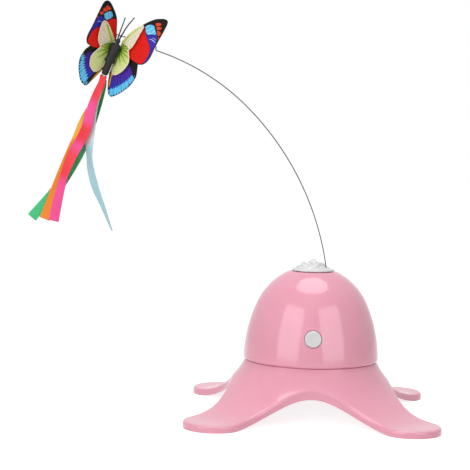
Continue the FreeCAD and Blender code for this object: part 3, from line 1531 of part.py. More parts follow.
def smooth(share):
    """Smooth step from 0 to 1 as share goes from 0 to 1."""
    share = min(1.0, max(0.0, share))
    return share * share * (3 - 2 * share)


def ribbon(name, layer, wave, width, twist, line):
    """A hanging ribbon: sections along a curve through a few points of its middle line.

    The line's points count from the knot. layer is the ribbon's place in depth, wave the height and phase of its
    folds, twist its turn about its own length at some shares of it. It is gathered at the knot.
    """
    curve = Part.BSplineCurve()
    knot = perch.multVec(Vector(0, 0, loop_height))
    curve.interpolate([knot + Vector(x, 0, z) for x, z in line])
    high, phase = wave
    half = dim("ribbon_wall") / 2
    sections = []
    count = 21
    for number in range(count):
        share = number / (count - 1.0)
        at_length = curve.parameterAtDistance(curve.length() * share, curve.FirstParameter)
        place = curve.value(at_length)
        spread = smooth(share / 0.16)
        place.y = knot.y + layer * (0.4 + 0.6 * spread)
        place.y += high * spread * math.sin(2 * math.pi * (2.2 * share + phase))
        along = curve.tangent(at_length)[0]
        turn = between(share, twist)
        across = Rotation(along, turn).multVec(along.cross(Vector(0, 1, 0)).normalize())
        normal = along.cross(across).normalize()
        reach = (0.62 + 0.38 * smooth(share / 0.4)) * width / 2
        corners = [place + across * (a * reach) + normal * (b * half)
                   for a, b in ((-1, -1), (1, -1), (1, 1), (-1, 1))]
        sections.append(Part.makePolygon(corners + corners[:1]))
    return keep(name, solid(name + "_form", Part.makeLoft(sections, True, False)))


def make_ribbons():
    """Four satin ribbons that hang from the knot, one behind the other."""
    wide = dim("ribbon_width")
    ribbon("pink_ribbon", -4.6, (1.0, 0.0), wide, [(0, 0), (0.45, 0), (0.7, 38), (1, 6)], [
        (0.2, -0.6), (-1.2, -5.4), (-3.9, -11.2), (-7.7, -22.9), (-10.3, -34.6), (-12.8, -41.8),
        (-18.5, -52.2), (-22.6, -60.4), (-26.1, -69.9), (-29.1, -81.6), (-31.8, -93.4), (-34.3, -105.9)])
    ribbon("blue_ribbon", -1.4, (0.4, 0.3), wide - 0.6, [(0, 0), (0.3, 0), (0.5, 48), (0.66, 32), (0.8, 52), (1, 76)], [
        (0.0, -1.9), (-2.5, -8.2), (-5.0, -17.0), (-7.5, -28.6), (-8.7, -40.3), (-9.4, -53.0),
        (-8.6, -63.7), (-7.2, -70.5), (-4.2, -81.1), (0.5, -92.7), (5.4, -104.4), (8.6, -112.4)])
    ribbon("orange_ribbon", 3.0, (0.8, 0.45), wide, [(0, 0), (0.5, -6), (1, 6)], [
        (0.0, -1.9), (-3.3, -11.0), (-6.9, -19.8), (-10.9, -27.0), (-15.0, -35.6), (-18.6, -45.0),
        (-25.2, -61.2), (-32.4, -79.0), (-36.6, -90.0), (-42.0, -105.0)])
    ribbon("green_ribbon", 6.2, (0.8, 0.7), wide, [(0, 0), (0.5, 6), (1, -8)], [
        (0.2, -1.9), (-0.4, -7.9), (-2.7, -15.0), (-7.4, -28.5), (-11.5, -40.3), (-15.6, -51.5),
        (-20.8, -62.0), (-31.3, -79.1), (-40.5, -91.0), (-52.0, -104.2)])


make_petal_base()
make_foot_pads()
make_dome_shell()
make_dome_screws()
make_power_button()
make_push_switch()
make_circuit_board()
make_board_components()
make_lower_gear_plate()
make_upper_gear_plate()
make_gearbox_screws()
make_idler_pins()
make_output_gear()
idler("idler_gear_two", train.second_wheel, train.second_pinion_top, train.second_phase, train.second)
idler("idler_gear_one", train.first_wheel, train.first_pinion_top, train.first_phase, train.first)
make_motor_pinion()
make_output_spindle()
make_spindle_bush()
make_motor_can()
make_motor_end_bell()
make_motor_terminals()
make_motor_magnets()
make_motor_shaft()
make_motor_armature()
make_motor_screws()
make_battery_tray()
make_battery_cells()
make_battery_contacts()
make_battery_springs()
make_battery_door()
make_door_screw()
make_tray_screws()
make_battery_leads()
make_motor_leads()
make_rotor_cap()
make_wand_wire()
make_wand_beads()
make_butterfly_body()
make_hanger_eye()
make_tail_loop()
make_wings()
make_ribbon_knot()
make_ribbons()
doc.recompute()

# Every feature must be sound before any file is written

for feature in doc.Objects:
    if "Invalid" in feature.State or "Error" in feature.State:
        raise ValueError("%s is not sound: %s" % (feature.Name, feature.State))
    shape = getattr(feature, "Shape", None)
    if shape is not None and not feature.isDerivedFrom("Sketcher::SketchObject"):
        if shape.isNull() or not shape.isValid():
            raise ValueError("%s has no valid shape" % feature.Name)

os.makedirs("parts", exist_ok=True)
for name, feature in parts.items():
    bounds = feature.Shape.optimalBoundingBox()
    print("%-18s solids %d  volume %9.1f  x %.1f..%.1f  y %.1f..%.1f  z %.1f..%.1f" % (
        name, len(feature.Shape.Solids), feature.Shape.Volume, bounds.XMin, bounds.XMax,
        bounds.YMin, bounds.YMax, bounds.ZMin, bounds.ZMax))
    feature.Shape.exportStep("parts/%s.step" % name)
print("%d sub-parts" % len(parts))
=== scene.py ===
# %% [markdown]
# # A rotating butterfly cat toy
#
# The toy is a pink dome on a skirt of four flared petals. A white cap turns on top of it and swings a thin
# steel wire, and a printed film butterfly with four satin ribbons hangs from the wire's tip. The rigid parts
# come from the frame as they are and only get finishes here. The wings, the ribbons, the body and the relief
# on the cap are worked out below as surfaces.

# %% Libraries and the frame
import math

import bmesh
import bpy
import numpy as np
from mathutils import Matrix, Vector


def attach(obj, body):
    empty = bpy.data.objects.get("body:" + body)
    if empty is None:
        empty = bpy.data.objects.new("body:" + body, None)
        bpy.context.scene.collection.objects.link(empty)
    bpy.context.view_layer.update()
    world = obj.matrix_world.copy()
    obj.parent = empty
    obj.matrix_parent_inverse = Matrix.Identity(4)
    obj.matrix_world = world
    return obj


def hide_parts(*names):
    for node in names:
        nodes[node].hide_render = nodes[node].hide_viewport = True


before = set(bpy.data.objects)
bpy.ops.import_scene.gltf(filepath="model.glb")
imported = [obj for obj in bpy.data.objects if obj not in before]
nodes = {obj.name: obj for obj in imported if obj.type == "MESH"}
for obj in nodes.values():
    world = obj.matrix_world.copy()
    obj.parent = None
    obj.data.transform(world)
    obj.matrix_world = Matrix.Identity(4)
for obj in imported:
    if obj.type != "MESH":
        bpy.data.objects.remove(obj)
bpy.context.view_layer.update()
MM = 0.001

# %% [markdown]
# ## The camera
#
# A product photograph like this one is taken with a long lens from about a metre, a little above the toy and
# almost level. The place and the tilt were found by matching the dome's outline, the petals' tips and the
# wire with the picture. The lens is given in millimetres for a sensor 36 mm wide.

# %% Camera
CAMERA_PLACE = Vector((-0.032905, -1.040755, 0.200763))
CAMERA_LOOK = Vector((-0.02405, 0.99739, -0.06811)).normalized()
CAMERA_ROLL = 0.023
FOCAL_PIXELS = 1415.93
IMAGE_PIXELS = 470
SENSOR = 36.0


def camera_matrix(place, look, roll):
    """Columns are the camera's right, up and back, turned by roll about the line of sight."""
    right = look.cross(Vector((0, 0, 1))).normalized()
    up = right.cross(look)
    right, up = right * math.cos(roll) + up * math.sin(roll), up * math.cos(roll) - right * math.sin(roll)
    turn = Matrix((right, up, -look)).transposed()
    return Matrix.Translation(place) @ turn.to_4x4()


camera_data = bpy.data.cameras.new("camera")
camera_data.sensor_width = SENSOR
camera_data.lens = SENSOR * FOCAL_PIXELS / IMAGE_PIXELS
camera_data.clip_end = 20
camera = bpy.data.objects.new("camera", camera_data)
camera.matrix_world = camera_matrix(CAMERA_PLACE, CAMERA_LOOK, CAMERA_ROLL)
bpy.context.scene.collection.objects.link(camera)
bpy.context.scene.camera = camera
bpy.context.scene.view_settings.view_transform = "Standard"
print("lens, mm:", round(camera_data.lens, 2))

# %% [markdown]
# ## Light, floor and background
#
# The toy stands in a white studio. A broad key light stands a little left of the camera, and a round soft box
# hangs above. A tall window of light on each side of the camera is only seen in reflections: the two give the
# pale upright bands on the dome, and the box above gives the oval highlight near its top. The world adds an
# even level, and it is plain white where the camera, a mirror or a clear film sees it.

# %% Node helpers and colours
COLOUR_SIDES = (6, 7)
COLOUR_RESULT = 2
WHITE = (1, 1, 1, 1)


def linear(code):
    """sRGB hex to linear RGBA: c / 12.92 below 0.04045, else ((c + 0.055) / 1.055) to the power 2.4."""
    channels = [int(code[i:i + 2], 16) / 255 for i in (1, 3, 5)]
    return tuple(c / 12.92 if c <= 0.04045 else ((c + 0.055) / 1.055) ** 2.4 for c in channels) + (1.0,)


def add(tree, kind, inputs=None, **settings):
    """Adds one node with its settings; an input given as a socket is linked, and any other is set."""
    made = tree.nodes.new("ShaderNode" + kind)
    for name, value in settings.items():
        setattr(made, name, value)
    for name, value in (inputs or {}).items():
        if isinstance(value, bpy.types.NodeSocket):
            tree.links.new(value, made.inputs[name])
        else:
            made.inputs[name].default_value = value
    return made


def calc(tree, operation, *values):
    """One step of arithmetic on numbers or sockets."""
    return add(tree, "Math", dict(enumerate(values)), operation=operation).outputs[0]


def ramp(tree, source, low, high, start=0.0, end=1.0, **settings):
    """Goes from start to end while the source goes from low to high, and stays level outside."""
    inputs = {"Value": source, "From Min": low, "From Max": high, "To Min": start, "To Max": end}
    return add(tree, "MapRange", inputs, **settings).outputs[0]


def mix(tree, share, under, over):
    """Colour mix; each side is a hex code or a colour socket."""
    mixed = add(tree, "Mix", {"Factor": share}, data_type="RGBA")
    for place, value in zip(COLOUR_SIDES, (under, over)):
        if isinstance(value, str):
            mixed.inputs[place].default_value = linear(value)
        else:
            tree.links.new(value, mixed.inputs[place])
    return mixed.outputs[COLOUR_RESULT]


# %% World and lamps
WORLD_LEVEL = 0.3


def make_world():
    """Even grey light for surfaces; plain white for what is seen, mirrored or through a clear film."""
    world = bpy.data.worlds.new("studio_air")
    world.use_nodes = True
    tree = world.node_tree
    tree.nodes.clear()
    path = add(tree, "LightPath").outputs
    mirrored = calc(tree, "MAXIMUM", path["Is Camera Ray"], path["Is Glossy Ray"])
    seen = calc(tree, "MAXIMUM", mirrored, path["Is Transmission Ray"])
    level = add(tree, "Mix", {"Factor": seen, "A": WORLD_LEVEL, "B": 1.0}, data_type="FLOAT")
    light = add(tree, "Background", {"Color": WHITE, "Strength": level.outputs["Result"]})
    add(tree, "OutputWorld", {"Surface": light.outputs[0]})
    bpy.context.scene.world = world


def make_lamp(name, place, target, width, height, level, shape="RECTANGLE", lights=True, reflects=True):
    """A soft box that faces its target; its power is pi x width x height x its brightness, the level."""
    data = bpy.data.lights.new(name, "AREA")
    data.shape = shape
    data.size = width
    data.size_y = height
    data.energy = math.pi * width * height * level
    lamp = bpy.data.objects.new(name, data)
    aim = (Vector(target) - Vector(place)).to_track_quat("-Z", "Y")
    lamp.matrix_world = Matrix.Translation(place) @ aim.to_matrix().to_4x4()
    lamp.visible_diffuse = lights
    lamp.visible_glossy = reflects
    bpy.context.scene.collection.objects.link(lamp)


make_world()
make_lamp("key_light", (-0.5, -1.42, 0.78), (0, 0, 0.08), 1.1, 1.1, 3.1, reflects=False)
make_lamp("window_left", (-1.06, -1.22, 0.62), (0, 0, 0.08), 1.2, 1.5, 2.5, lights=False)
make_lamp("window_right", (0.97, -1.28, 0.62), (0, 0, 0.08), 1.2, 1.5, 2.3, lights=False)
make_lamp("box_above", (0.0, 0.0, 1.25), (0, 0, 0.1), 0.97, 0.84, 2.7, shape="ELLIPSE")

# %% Floor
FLOOR_HALF = 6.0
FLOOR_GLOW = 0.8


def make_floor():
    """White paper: it glows a little for the camera, so lit paper is pure white and keeps the shadow."""
    mesh = bpy.data.meshes.new("floor")
    corners = [(x * FLOOR_HALF, y * FLOOR_HALF, 0) for x, y in ((-1, -1), (1, -1), (1, 1), (-1, 1))]
    mesh.from_pydata(corners, [], [(0, 1, 2, 3)])
    floor = bpy.data.objects.new("floor", mesh)
    bpy.context.scene.collection.objects.link(floor)
    material = bpy.data.materials.new("white_background_paper")
    material.use_nodes = True
    tree = material.node_tree
    tree.nodes.clear()
    path = add(tree, "LightPath").outputs
    seen = calc(tree, "MAXIMUM", path["Is Camera Ray"], path["Is Glossy Ray"])
    glow = calc(tree, "MULTIPLY", seen, FLOOR_GLOW)
    paper = add(tree, "BsdfDiffuse", {"Color": linear("#e4e4e4")})
    shine = add(tree, "Emission", {"Color": WHITE, "Strength": glow})
    lit = add(tree, "AddShader", {0: paper.outputs[0], 1: shine.outputs[0]})
    add(tree, "OutputMaterial", {"Surface": lit.outputs[0]})
    mesh.materials.append(material)


make_floor()

# %% [markdown]
# ## Finishes of the rigid parts
#
# Each finish starts from what the part is made of. Moulded ABS is smooth and glossy, with a very faint
# waviness that breaks its reflections. Acetal gears are waxy and cream, drawn steel carries fine lines along
# the wire, and zinc plate is bright with a slight cloudiness. Pattern scales are real sizes in metres.

# %% Material helpers
def finish(name, colour, roughness, **sockets):
    """A Principled material; what is the same all over is set on the shader's own sockets."""
    material = bpy.data.materials.new(name)
    material.use_nodes = True
    tree = material.node_tree
    shader = tree.nodes["Principled BSDF"]
    shader.inputs["Base Color"].default_value = linear(colour)
    shader.inputs["Roughness"].default_value = roughness
    for key, value in sockets.items():
        shader.inputs[key.replace("_", " ")].default_value = value
    return material, tree, shader


def object_noise(tree, grain, stretch=(1, 1, 1), detail=2.0):
    """Noise in object space whose lumps are about grain metres long, pulled by stretch."""
    place = add(tree, "TexCoord").outputs["Object"]
    scaled = add(tree, "Mapping", {"Vector": place, "Scale": stretch}).outputs[0]
    return add(tree, "TexNoise", {"Vector": scaled, "Scale": 1 / grain, "Detail": detail}).outputs[0]


def vary_colour(tree, shader, source, low, high, spread=0.25):
    """Base colour runs from low to high as the source goes through 0.5, over spread to each side."""
    share = ramp(tree, source, 0.5 - spread, 0.5 + spread)
    tree.links.new(mix(tree, share, low, high), shader.inputs["Base Color"])


def vary_roughness(tree, shader, source, low, high):
    """Roughness runs from low to high as the source goes from 0 to 1."""
    tree.links.new(ramp(tree, source, 0.0, 1.0, low, high), shader.inputs["Roughness"])


def emboss(tree, shader, source, depth):
    """Bump whose full height is depth metres."""
    bump = add(tree, "Bump", {"Height": source, "Distance": depth, "Strength": 1.0})
    tree.links.new(bump.outputs[0], shader.inputs["Normal"])


# %% Moulded plastics
ABS_IOR = 1.53
ROUGHNESS_DRIFT = 0.15


def moulded_plastic(name, low, high, roughness, waviness, grain=0.02):
    """Moulded plastic: flow makes the colour drift a little, and the tool's polish leaves a faint wave."""
    material, tree, shader = finish(name, high, roughness, IOR=ABS_IOR)
    vary_colour(tree, shader, object_noise(tree, grain), low, high)
    polish = object_noise(tree, grain / 4, detail=1.0)
    vary_roughness(tree, shader, polish, roughness * (1 - ROUGHNESS_DRIFT), roughness * (1 + ROUGHNESS_DRIFT))
    emboss(tree, shader, polish, waviness)
    return material


finishes = {
    "pink_plastic": moulded_plastic("glossy_moulded_pink_ABS", "#efa1b6", "#f2a5ba", 0.12, 0.000010),
    "white_plastic": moulded_plastic("semi_gloss_moulded_white_ABS", "#dcdcdc", "#e2e2e2", 0.28, 0.000015),
    "gear_plastic": moulded_plastic("natural_acetal", "#e4dfcf", "#efebdd", 0.36, 0.00001, 0.006),
    "switch": moulded_plastic("black_nylon", "#1b1b1d", "#242427", 0.45, 0.00001, 0.004),
    "chip": moulded_plastic("moulded_epoxy", "#17171a", "#202024", 0.55, 0.00001, 0.003),
    "lead_red": moulded_plastic("red_PVC_insulation", "#b31414", "#c81b1b", 0.38, 0.00001, 0.004),
    "lead_black": moulded_plastic("black_PVC_insulation", "#0e0e0f", "#181819", 0.38, 0.00001, 0.004),
}
print("plastics:", len(finishes))


# %% Rubber, ferrite and the circuit board
def grainy(name, low, high, roughness, grain, depth):
    """A dull material with a fine pitted face, such as rubber or pressed ferrite."""
    material, tree, shader = finish(name, high, roughness)
    pits = object_noise(tree, grain, detail=6.0)
    vary_colour(tree, shader, pits, low, high)
    emboss(tree, shader, pits, depth)
    return material


def solder_mask():
    """Green lacquer over copper tracks 0.5 mm wide, laid out in rows, which show as paler raised lines."""
    material, tree, shader = finish("green_solder_mask", "#1c5a2c", 0.3)
    place = add(tree, "TexCoord").outputs["Object"]
    tracks = add(tree, "TexBrick", {"Vector": place, "Scale": 1.0, "Mortar Size": 0.00025,
                                    "Brick Width": 0.009, "Row Height": 0.0022,
                                    "Mortar Smooth": 0.2}).outputs["Fac"]
    vary_colour(tree, shader, tracks, "#174d26", "#2c7a3c", 0.5)
    emboss(tree, shader, tracks, 0.00003)
    return material


finishes["foot_rubber"] = grainy("soft_grey_rubber", "#c2c2bf", "#cfcfcb", 0.75, 0.0006, 0.00006)
finishes["magnet"] = grainy("pressed_ferrite", "#26262a", "#303036", 0.6, 0.0003, 0.00002)
finishes["board"] = solder_mask()


# %% Metals and wrapped cells
def worked_metal(name, low, high, roughness, stretch, grain, depth):
    """Metal with the marks of how it was made: stretch pulls the noise into drawn or turned lines."""
    material, tree, shader = finish(name, high, roughness, Metallic=1.0)
    marks = object_noise(tree, grain, stretch, detail=4.0)
    vary_colour(tree, shader, marks, low, high)
    vary_roughness(tree, shader, marks, roughness * 0.8, roughness * 1.3)
    emboss(tree, shader, marks, depth)
    return material


for slot, made in {
        "steel": ("bright_zinc_plated_steel", "#a9abb0", "#c6c8cc", 0.28, (1, 1, 1), 0.0012, 0.000008),
        "wand_steel": ("drawn_spring_steel", "#3e3f42", "#5a5b5f", 0.3, (1, 1, 0.1), 0.0006, 0.000006),
        "brass": ("turned_brass", "#b8923f", "#d8b765", 0.25, (1, 1, 8), 0.002, 0.000006),
        "cell": ("shrink_wrapped_cell", "#2b2e38", "#3b3f4c", 0.3, (1, 1, 1), 0.003, 0.000005)}.items():
    finishes[slot] = worked_metal(*made)

# %% Windings
WAVE_UNIT = 0.314


def banded(name, low, high, roughness, pitch, metallic, depth):
    """Turns of wire, one each pitch metres along Z: a wave of scale 0.314 / pitch repeats each pitch."""
    material, tree, shader = finish(name, high, roughness, Metallic=metallic)
    place = add(tree, "TexCoord").outputs["Object"]
    turns = add(tree, "TexWave", {"Vector": place, "Scale": WAVE_UNIT / pitch, "Distortion": 0.4,
                                  "Detail": 1.0, "Detail Scale": 40.0}, bands_direction="Z").outputs[1]
    vary_colour(tree, shader, turns, low, high, 0.5)
    emboss(tree, shader, turns, depth)
    return material


finishes["copper"] = banded("enamelled_copper_windings", "#7c3218", "#c06a3a", 0.3, 0.0005, 1.0, 0.0001)
print("finishes:", sorted(finishes))

# %% [markdown]
# ## Mesh helpers
#
# Every new piece is a grid of points worked out as whole arrays, in millimetres. A grid may wrap round, as a
# tube does, and a row that has shrunk to a point is merged into one, so the form is closed.

# %% Grid to mesh
MERGE_DISTANCE = 1e-7  # metres
PATH_STEPS = 24


def mesh_object(name, grid, slot, body, wrap=False, texture=None, attributes=None, replaces=(), flip=False):
    """Quads between neighbouring grid points, with a UV and numbers for each point if they are given."""
    rows, columns = grid.shape[:2]
    index = np.arange(rows * columns).reshape(rows, columns)
    if wrap:
        index = np.concatenate([index, index[:, :1]], axis=1)
    corners = [index[:-1, :-1], index[:-1, 1:], index[1:, 1:], index[1:, :-1]]
    quads = np.stack(corners[::-1] if flip else corners, axis=-1).reshape(-1, 4)
    mesh = bpy.data.meshes.new(name)
    mesh.vertices.add(rows * columns)
    mesh.vertices.foreach_set("co", (grid * MM).astype(np.float32).ravel())
    mesh.loops.add(quads.size)
    mesh.loops.foreach_set("vertex_index", quads.ravel())
    mesh.polygons.add(len(quads))
    mesh.polygons.foreach_set("loop_start", np.arange(len(quads)) * 4)
    mesh.polygons.foreach_set("use_smooth", np.ones(len(quads), bool))
    mesh.update(calc_edges=True)
    if texture is not None:
        layer = mesh.uv_layers.new(name="film")
        layer.data.foreach_set("uv", texture.reshape(-1, 2)[quads.ravel()].astype(np.float32).ravel())
    for key, values in (attributes or {}).items():
        field = mesh.attributes.new(key, "FLOAT", "POINT")
        field.data.foreach_set("value", np.broadcast_to(values, (rows, columns)).astype(np.float32).ravel())
    clean = bmesh.new()
    clean.from_mesh(mesh)
    bmesh.ops.remove_doubles(clean, verts=clean.verts, dist=MERGE_DISTANCE)
    clean.to_mesh(mesh)
    clean.free()
    piece = bpy.data.objects.new(name, mesh)
    bpy.context.scene.collection.objects.link(piece)
    mesh.materials.append(finishes[slot])
    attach(piece, body)
    if replaces:
        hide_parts(*replaces)
    print(name, "points:", len(mesh.vertices), "faces:", len(mesh.polygons))
    return piece


def thicken(piece, wall):
    """A thin wall of wall mm, half on each side of the surface."""
    solid = piece.modifiers.new("wall", "SOLIDIFY")
    solid.thickness = wall * MM
    solid.offset = 0.0


def smooth_path(points, count):
    """Catmull-Rom curve through the points, resampled to count points at even distance along it."""
    points = np.asarray(points, float)
    ends = np.vstack([2 * points[0] - points[1], points, 2 * points[-1] - points[-2]])
    t = np.linspace(0, len(points) - 1, PATH_STEPS * len(points))
    section = np.minimum(t.astype(int), len(points) - 2)
    t = (t - section)[:, None]
    a, b, c, d = (ends[section + k] for k in range(4))
    curve = (2 * b + (c - a) * t + (2 * a - 5 * b + 4 * c - d) * t ** 2
             + (3 * b - a - 3 * c + d) * t ** 3) / 2
    along = np.concatenate([[0], np.cumsum(np.linalg.norm(np.diff(curve, axis=0), axis=1))])
    even = np.linspace(0, along[-1], count)
    return np.stack([np.interp(even, along, curve[:, k]) for k in range(points.shape[1])], axis=1), along[-1]


def ease(x, low, high):
    """Smooth step: 0 at low, 1 at high, 3t squared minus 2t cubed between; low may be the greater."""
    t = np.clip((x - low) / (high - low), 0, 1)
    return t * t * (3 - 2 * t)


def span(x, rise, fall):
    """1 between two soft ends: it rises over the first pair and falls over the second."""
    return ease(x, *rise) * ease(x, fall[1], fall[0])


# %% [markdown]
# ## The butterfly's own frame
#
# The butterfly hangs at a slant. Its pieces are drawn upright, with X across, Y to the back and Z to the
# head, and this frame turns them by its lean about Y and puts them at the wire's eye.

# %% Butterfly frame
PERCH = np.array([-144.6107, -5.4, 273.6588])
LEAN = math.radians(21.5)
ACROSS = np.array([math.cos(LEAN), 0, -math.sin(LEAN)])
BACK = np.array([0, 1.0, 0])
HEADWARD = np.array([math.sin(LEAN), 0, math.cos(LEAN)])


def perched(x, y, z, origin=PERCH):
    """Points of butterfly coordinates in the toy's frame: origin + x across + y back + z headward."""
    return origin + x[..., None] * ACROSS + y[..., None] * BACK + z[..., None] * HEADWARD


# %% [markdown]
# ## Wings
#
# A wing is printed polyester film, cut out along the printed edge and bent forward at its root. It is drawn
# as a fan: one parameter runs from the root line to the cut edge, and the other runs along both. The print
# isn't a picture. Each coloured field is the signed distance to a rounded outline drawn in millimetres, and
# the material turns these distances into crisp edges, so the print stays sharp however close one looks.

# %% Film shape, in millimetres and degrees
ROOT_SIDE = 2.4
ROOT_BACK = 4.6
RIGHT_SLOPE = 34.0
LEFT_SLOPES = (33.0, 54.0)
LEFT_HEIGHTS = (-45.0, 25.0)
INNER_LIFT = 5.0
INNER_GAP = 0.9
FILM_WALL = 0.3
CUP_DEPTH = 0.14
CUP_REACH = 32.0
OUTLINE_POINTS = 90
OUTLINE_LAP = 6
TEXTURE_SPAN = 100.0


def film_depth(side, x, z, lift, ahead):
    """How far back the film lies: from the root it comes forward with its slope, which grows on the left."""
    slope = RIGHT_SLOPE
    if side < 0:
        share = (z - LEFT_HEIGHTS[0]) / (LEFT_HEIGHTS[1] - LEFT_HEIGHTS[0])
        slope = LEFT_SLOPES[0] + (LEFT_SLOPES[1] - LEFT_SLOPES[0]) * share
    return ROOT_BACK - ahead - (np.abs(x) - ROOT_SIDE) * np.tan(np.radians(slope + lift))


def signed_distance(x, z, outline):
    """Distance in mm to the nearest edge of a closed outline, positive inside, as the crossings tell."""
    closed = np.vstack([outline, outline[:1]])
    start, end = closed[:-1], closed[1:]
    px, pz = x[..., None], z[..., None]
    dx, dz = (end - start).T
    t = ((px - start[:, 0]) * dx + (pz - start[:, 1]) * dz) / (dx ** 2 + dz ** 2 + 1e-12)
    t = np.clip(t, 0, 1)
    gap = np.hypot(px - start[:, 0] - t * dx, pz - start[:, 1] - t * dz).min(-1)
    crosses = (start[:, 1] > pz) != (end[:, 1] > pz)
    at = start[:, 0] + (pz - start[:, 1]) * dx / np.where(np.abs(dz) < 1e-9, 1e-9, dz)
    inside = (crosses & (px < at)).sum(-1) % 2 == 1
    return np.where(inside, gap, -gap)


def rounded(points):
    """A given outline with its corners rounded: a closed smooth path through the points."""
    points = np.asarray(points, float)
    path, _ = smooth_path(np.vstack([points[-2:], points, points[:2]]), OUTLINE_POINTS)
    return path[OUTLINE_LAP:-OUTLINE_LAP]


# %% Wing builder
FAN_ROWS = 44
FAN_COLUMNS = 150


def wing(name, side, curves, fields, base, slot, body, lift=0.0, ahead=0.0):
    """The film as a fan from the root line to the cut edge, with the print's distances as attributes."""
    edge = np.vstack([smooth_path(points, FAN_COLUMNS)[0] for points in curves])
    share = np.linspace(0, 1, len(edge))[:, None]
    root = edge[0] * (1 - share) + edge[-1] * share
    out = np.linspace(0, 1, FAN_ROWS)[:, None, None]
    flat = root + (edge - root) * out
    x, z = flat[..., 0], flat[..., 1]
    angle = np.arctan2(z - base[1], np.abs(x - base[0]) + 1e-6)
    reach = np.hypot(x - base[0], z - base[1])
    cup = CUP_DEPTH * np.sin(math.pi * np.clip(reach / CUP_REACH, 0, 1)) * out[..., 0]
    y = film_depth(side, x, z, lift, ahead) - cup
    attributes = {"ray": angle, "reach": reach, "rim": signed_distance(x, z, edge)}
    for key, outlines in fields.items():
        attributes[key] = np.max([signed_distance(x, z, rounded(o)) for o in outlines], axis=0)
    texture = np.stack([x, z], axis=-1) / TEXTURE_SPAN + 0.5
    piece = mesh_object(name + "_print", perched(x, y, z), slot, body, texture=texture,
                        attributes=attributes, replaces=(name,), flip=side < 0)
    thicken(piece, FILM_WALL)


# %% [markdown]
# ### Printed film
#
# The film is polyester, printed and lightly glossy. The print is laid in coats over black: each coat has an
# outline field and a colour, and thin dark veins run over the coloured cells from the wing's base. Over the
# print, a last coat of thin pale lines on the blue band is a painted highlight.

# %% Print helpers
def field(tree, name):
    """One of the numbers that the points of a piece carry."""
    return add(tree, "Attribute", attribute_name=name).outputs["Fac"]


def ink(tree, scale, detail=4.0):
    """Uneven ink: noise on the film's own texture."""
    film = add(tree, "UVMap", uv_map="film").outputs[0]
    return add(tree, "TexNoise", {"Vector": film, "Scale": scale, "Detail": detail}).outputs[0]


def coat(tree, under, name, colour, offset=0.0, edge=0.14, jag=None):
    """Lays a colour over what is under it where the named distance, plus a jag in mm, is above offset."""
    distance = field(tree, name)
    if jag:
        distance = calc(tree, "ADD", distance, jag)
    inside = ramp(tree, distance, offset - edge, offset + edge, interpolation_type="SMOOTHSTEP")
    return mix(tree, inside, under, colour)


def lines(tree, half_pitch, width, wobble=0.0):
    """Thin lines fanned out from the wing's base, twice half_pitch radians apart and width mm thick."""
    ray = field(tree, "ray")
    if wobble:
        ray = calc(tree, "MULTIPLY_ADD", ink(tree, 40.0, 1.0), wobble, ray)
    gap = calc(tree, "MULTIPLY", calc(tree, "PINGPONG", ray, half_pitch), field(tree, "reach"))
    return ramp(tree, gap, width * 0.35, width * 0.65, 1.0, 0.0)


def teeth(tree, pitch, depth):
    """A zigzag of depth mm round the wing's base, one tooth each pitch radians, from minus to plus half."""
    cell = calc(tree, "PINGPONG", field(tree, "ray"), pitch / 2)
    return calc(tree, "MULTIPLY_ADD", cell, 2 * depth / pitch, -depth / 2)


def near_rim(tree, inner, outer):
    """1 at the cut edge and 0 inside: it falls between the two distances in mm."""
    return ramp(tree, field(tree, "rim"), inner, outer, 1.0, 0.0)


def both(tree, one, other):
    """Product of two shares."""
    return calc(tree, "MULTIPLY", one, other)


# %% Dark print
def printed_film():
    """Large wings: a black ground, the fields of both wings, each a mix of two close inks, and a painted
    highlight.
    """
    material, tree, shader = finish("printed_polyester_film", "#15120f", 0.34, Specular_IOR_Level=0.12)
    brush = ink(tree, 60.0)
    veins = lines(tree, 0.105, 0.34, 0.05)
    fine = both(tree, lines(tree, 0.03, 0.6, 0.04), brush)
    broad = both(tree, lines(tree, 0.052, 0.62, 0.09), brush)
    royal = mix(tree, fine, mix(tree, brush, "#2a2aa6", "#4b44cf"), "#1b1878")
    sky = mix(tree, broad, mix(tree, brush, "#3cbcff", "#7fe0ff"), "#d2f6ff")
    red = mix(tree, brush, "#df1512", "#f2271a")
    ember = mix(tree, brush, "#e0251c", "#f5622c")
    amber = mix(tree, brush, "#e08a1a", "#fcc531")
    out = ramp(tree, field(tree, "reach"), 20.0, 31.0)
    violet = mix(tree, out, mix(tree, brush, "#4a1c98", "#5a34b4"), "#2a3fb8")
    violet = mix(tree, broad, violet, "#1a1466")
    margin = mix(tree, broad, mix(tree, brush, "#40bcff", "#84e2ff"), "#2a8ae6")
    margin = mix(tree, both(tree, veins, brush), margin, "#12184a")
    margin = mix(tree, both(tree, lines(tree, 0.21, 1.3), near_rim(tree, 0.7, 1.2)), margin, "#0d1128")
    colour = mix(tree, brush, "#080706", "#1b1713")
    # The last coat, pale lines over the blue band, is a painted highlight rather than print.
    for name, over, offset in (
            ("violet", violet, 0.0), ("amber", amber, 0.0), ("band", royal, 0.0), ("pale", "#0a0a14", -0.45),
            ("pale", sky, 0.0), ("red", "#3a0a0c", -0.3), ("red", red, 0.0), ("window", ember, 0.0),
            ("painted_glint", "#b9ccf8", 0.0)):
        colour = coat(tree, colour, name, over, offset)
    colour = mix(tree, near_rim(tree, 0.2, 0.4), colour, "#12100e")
    colour = coat(tree, colour, "margin", margin, 0.3, jag=teeth(tree, 0.06, 1.5))
    tree.links.new(colour, shader.inputs["Base Color"])
    vary_roughness(tree, shader, brush, 0.3, 0.42)
    emboss(tree, shader, veins, 0.00004)
    return material


finishes["wing_film"] = printed_film()

# %% Pale print
CROSS_HALF_PITCH = 1.0


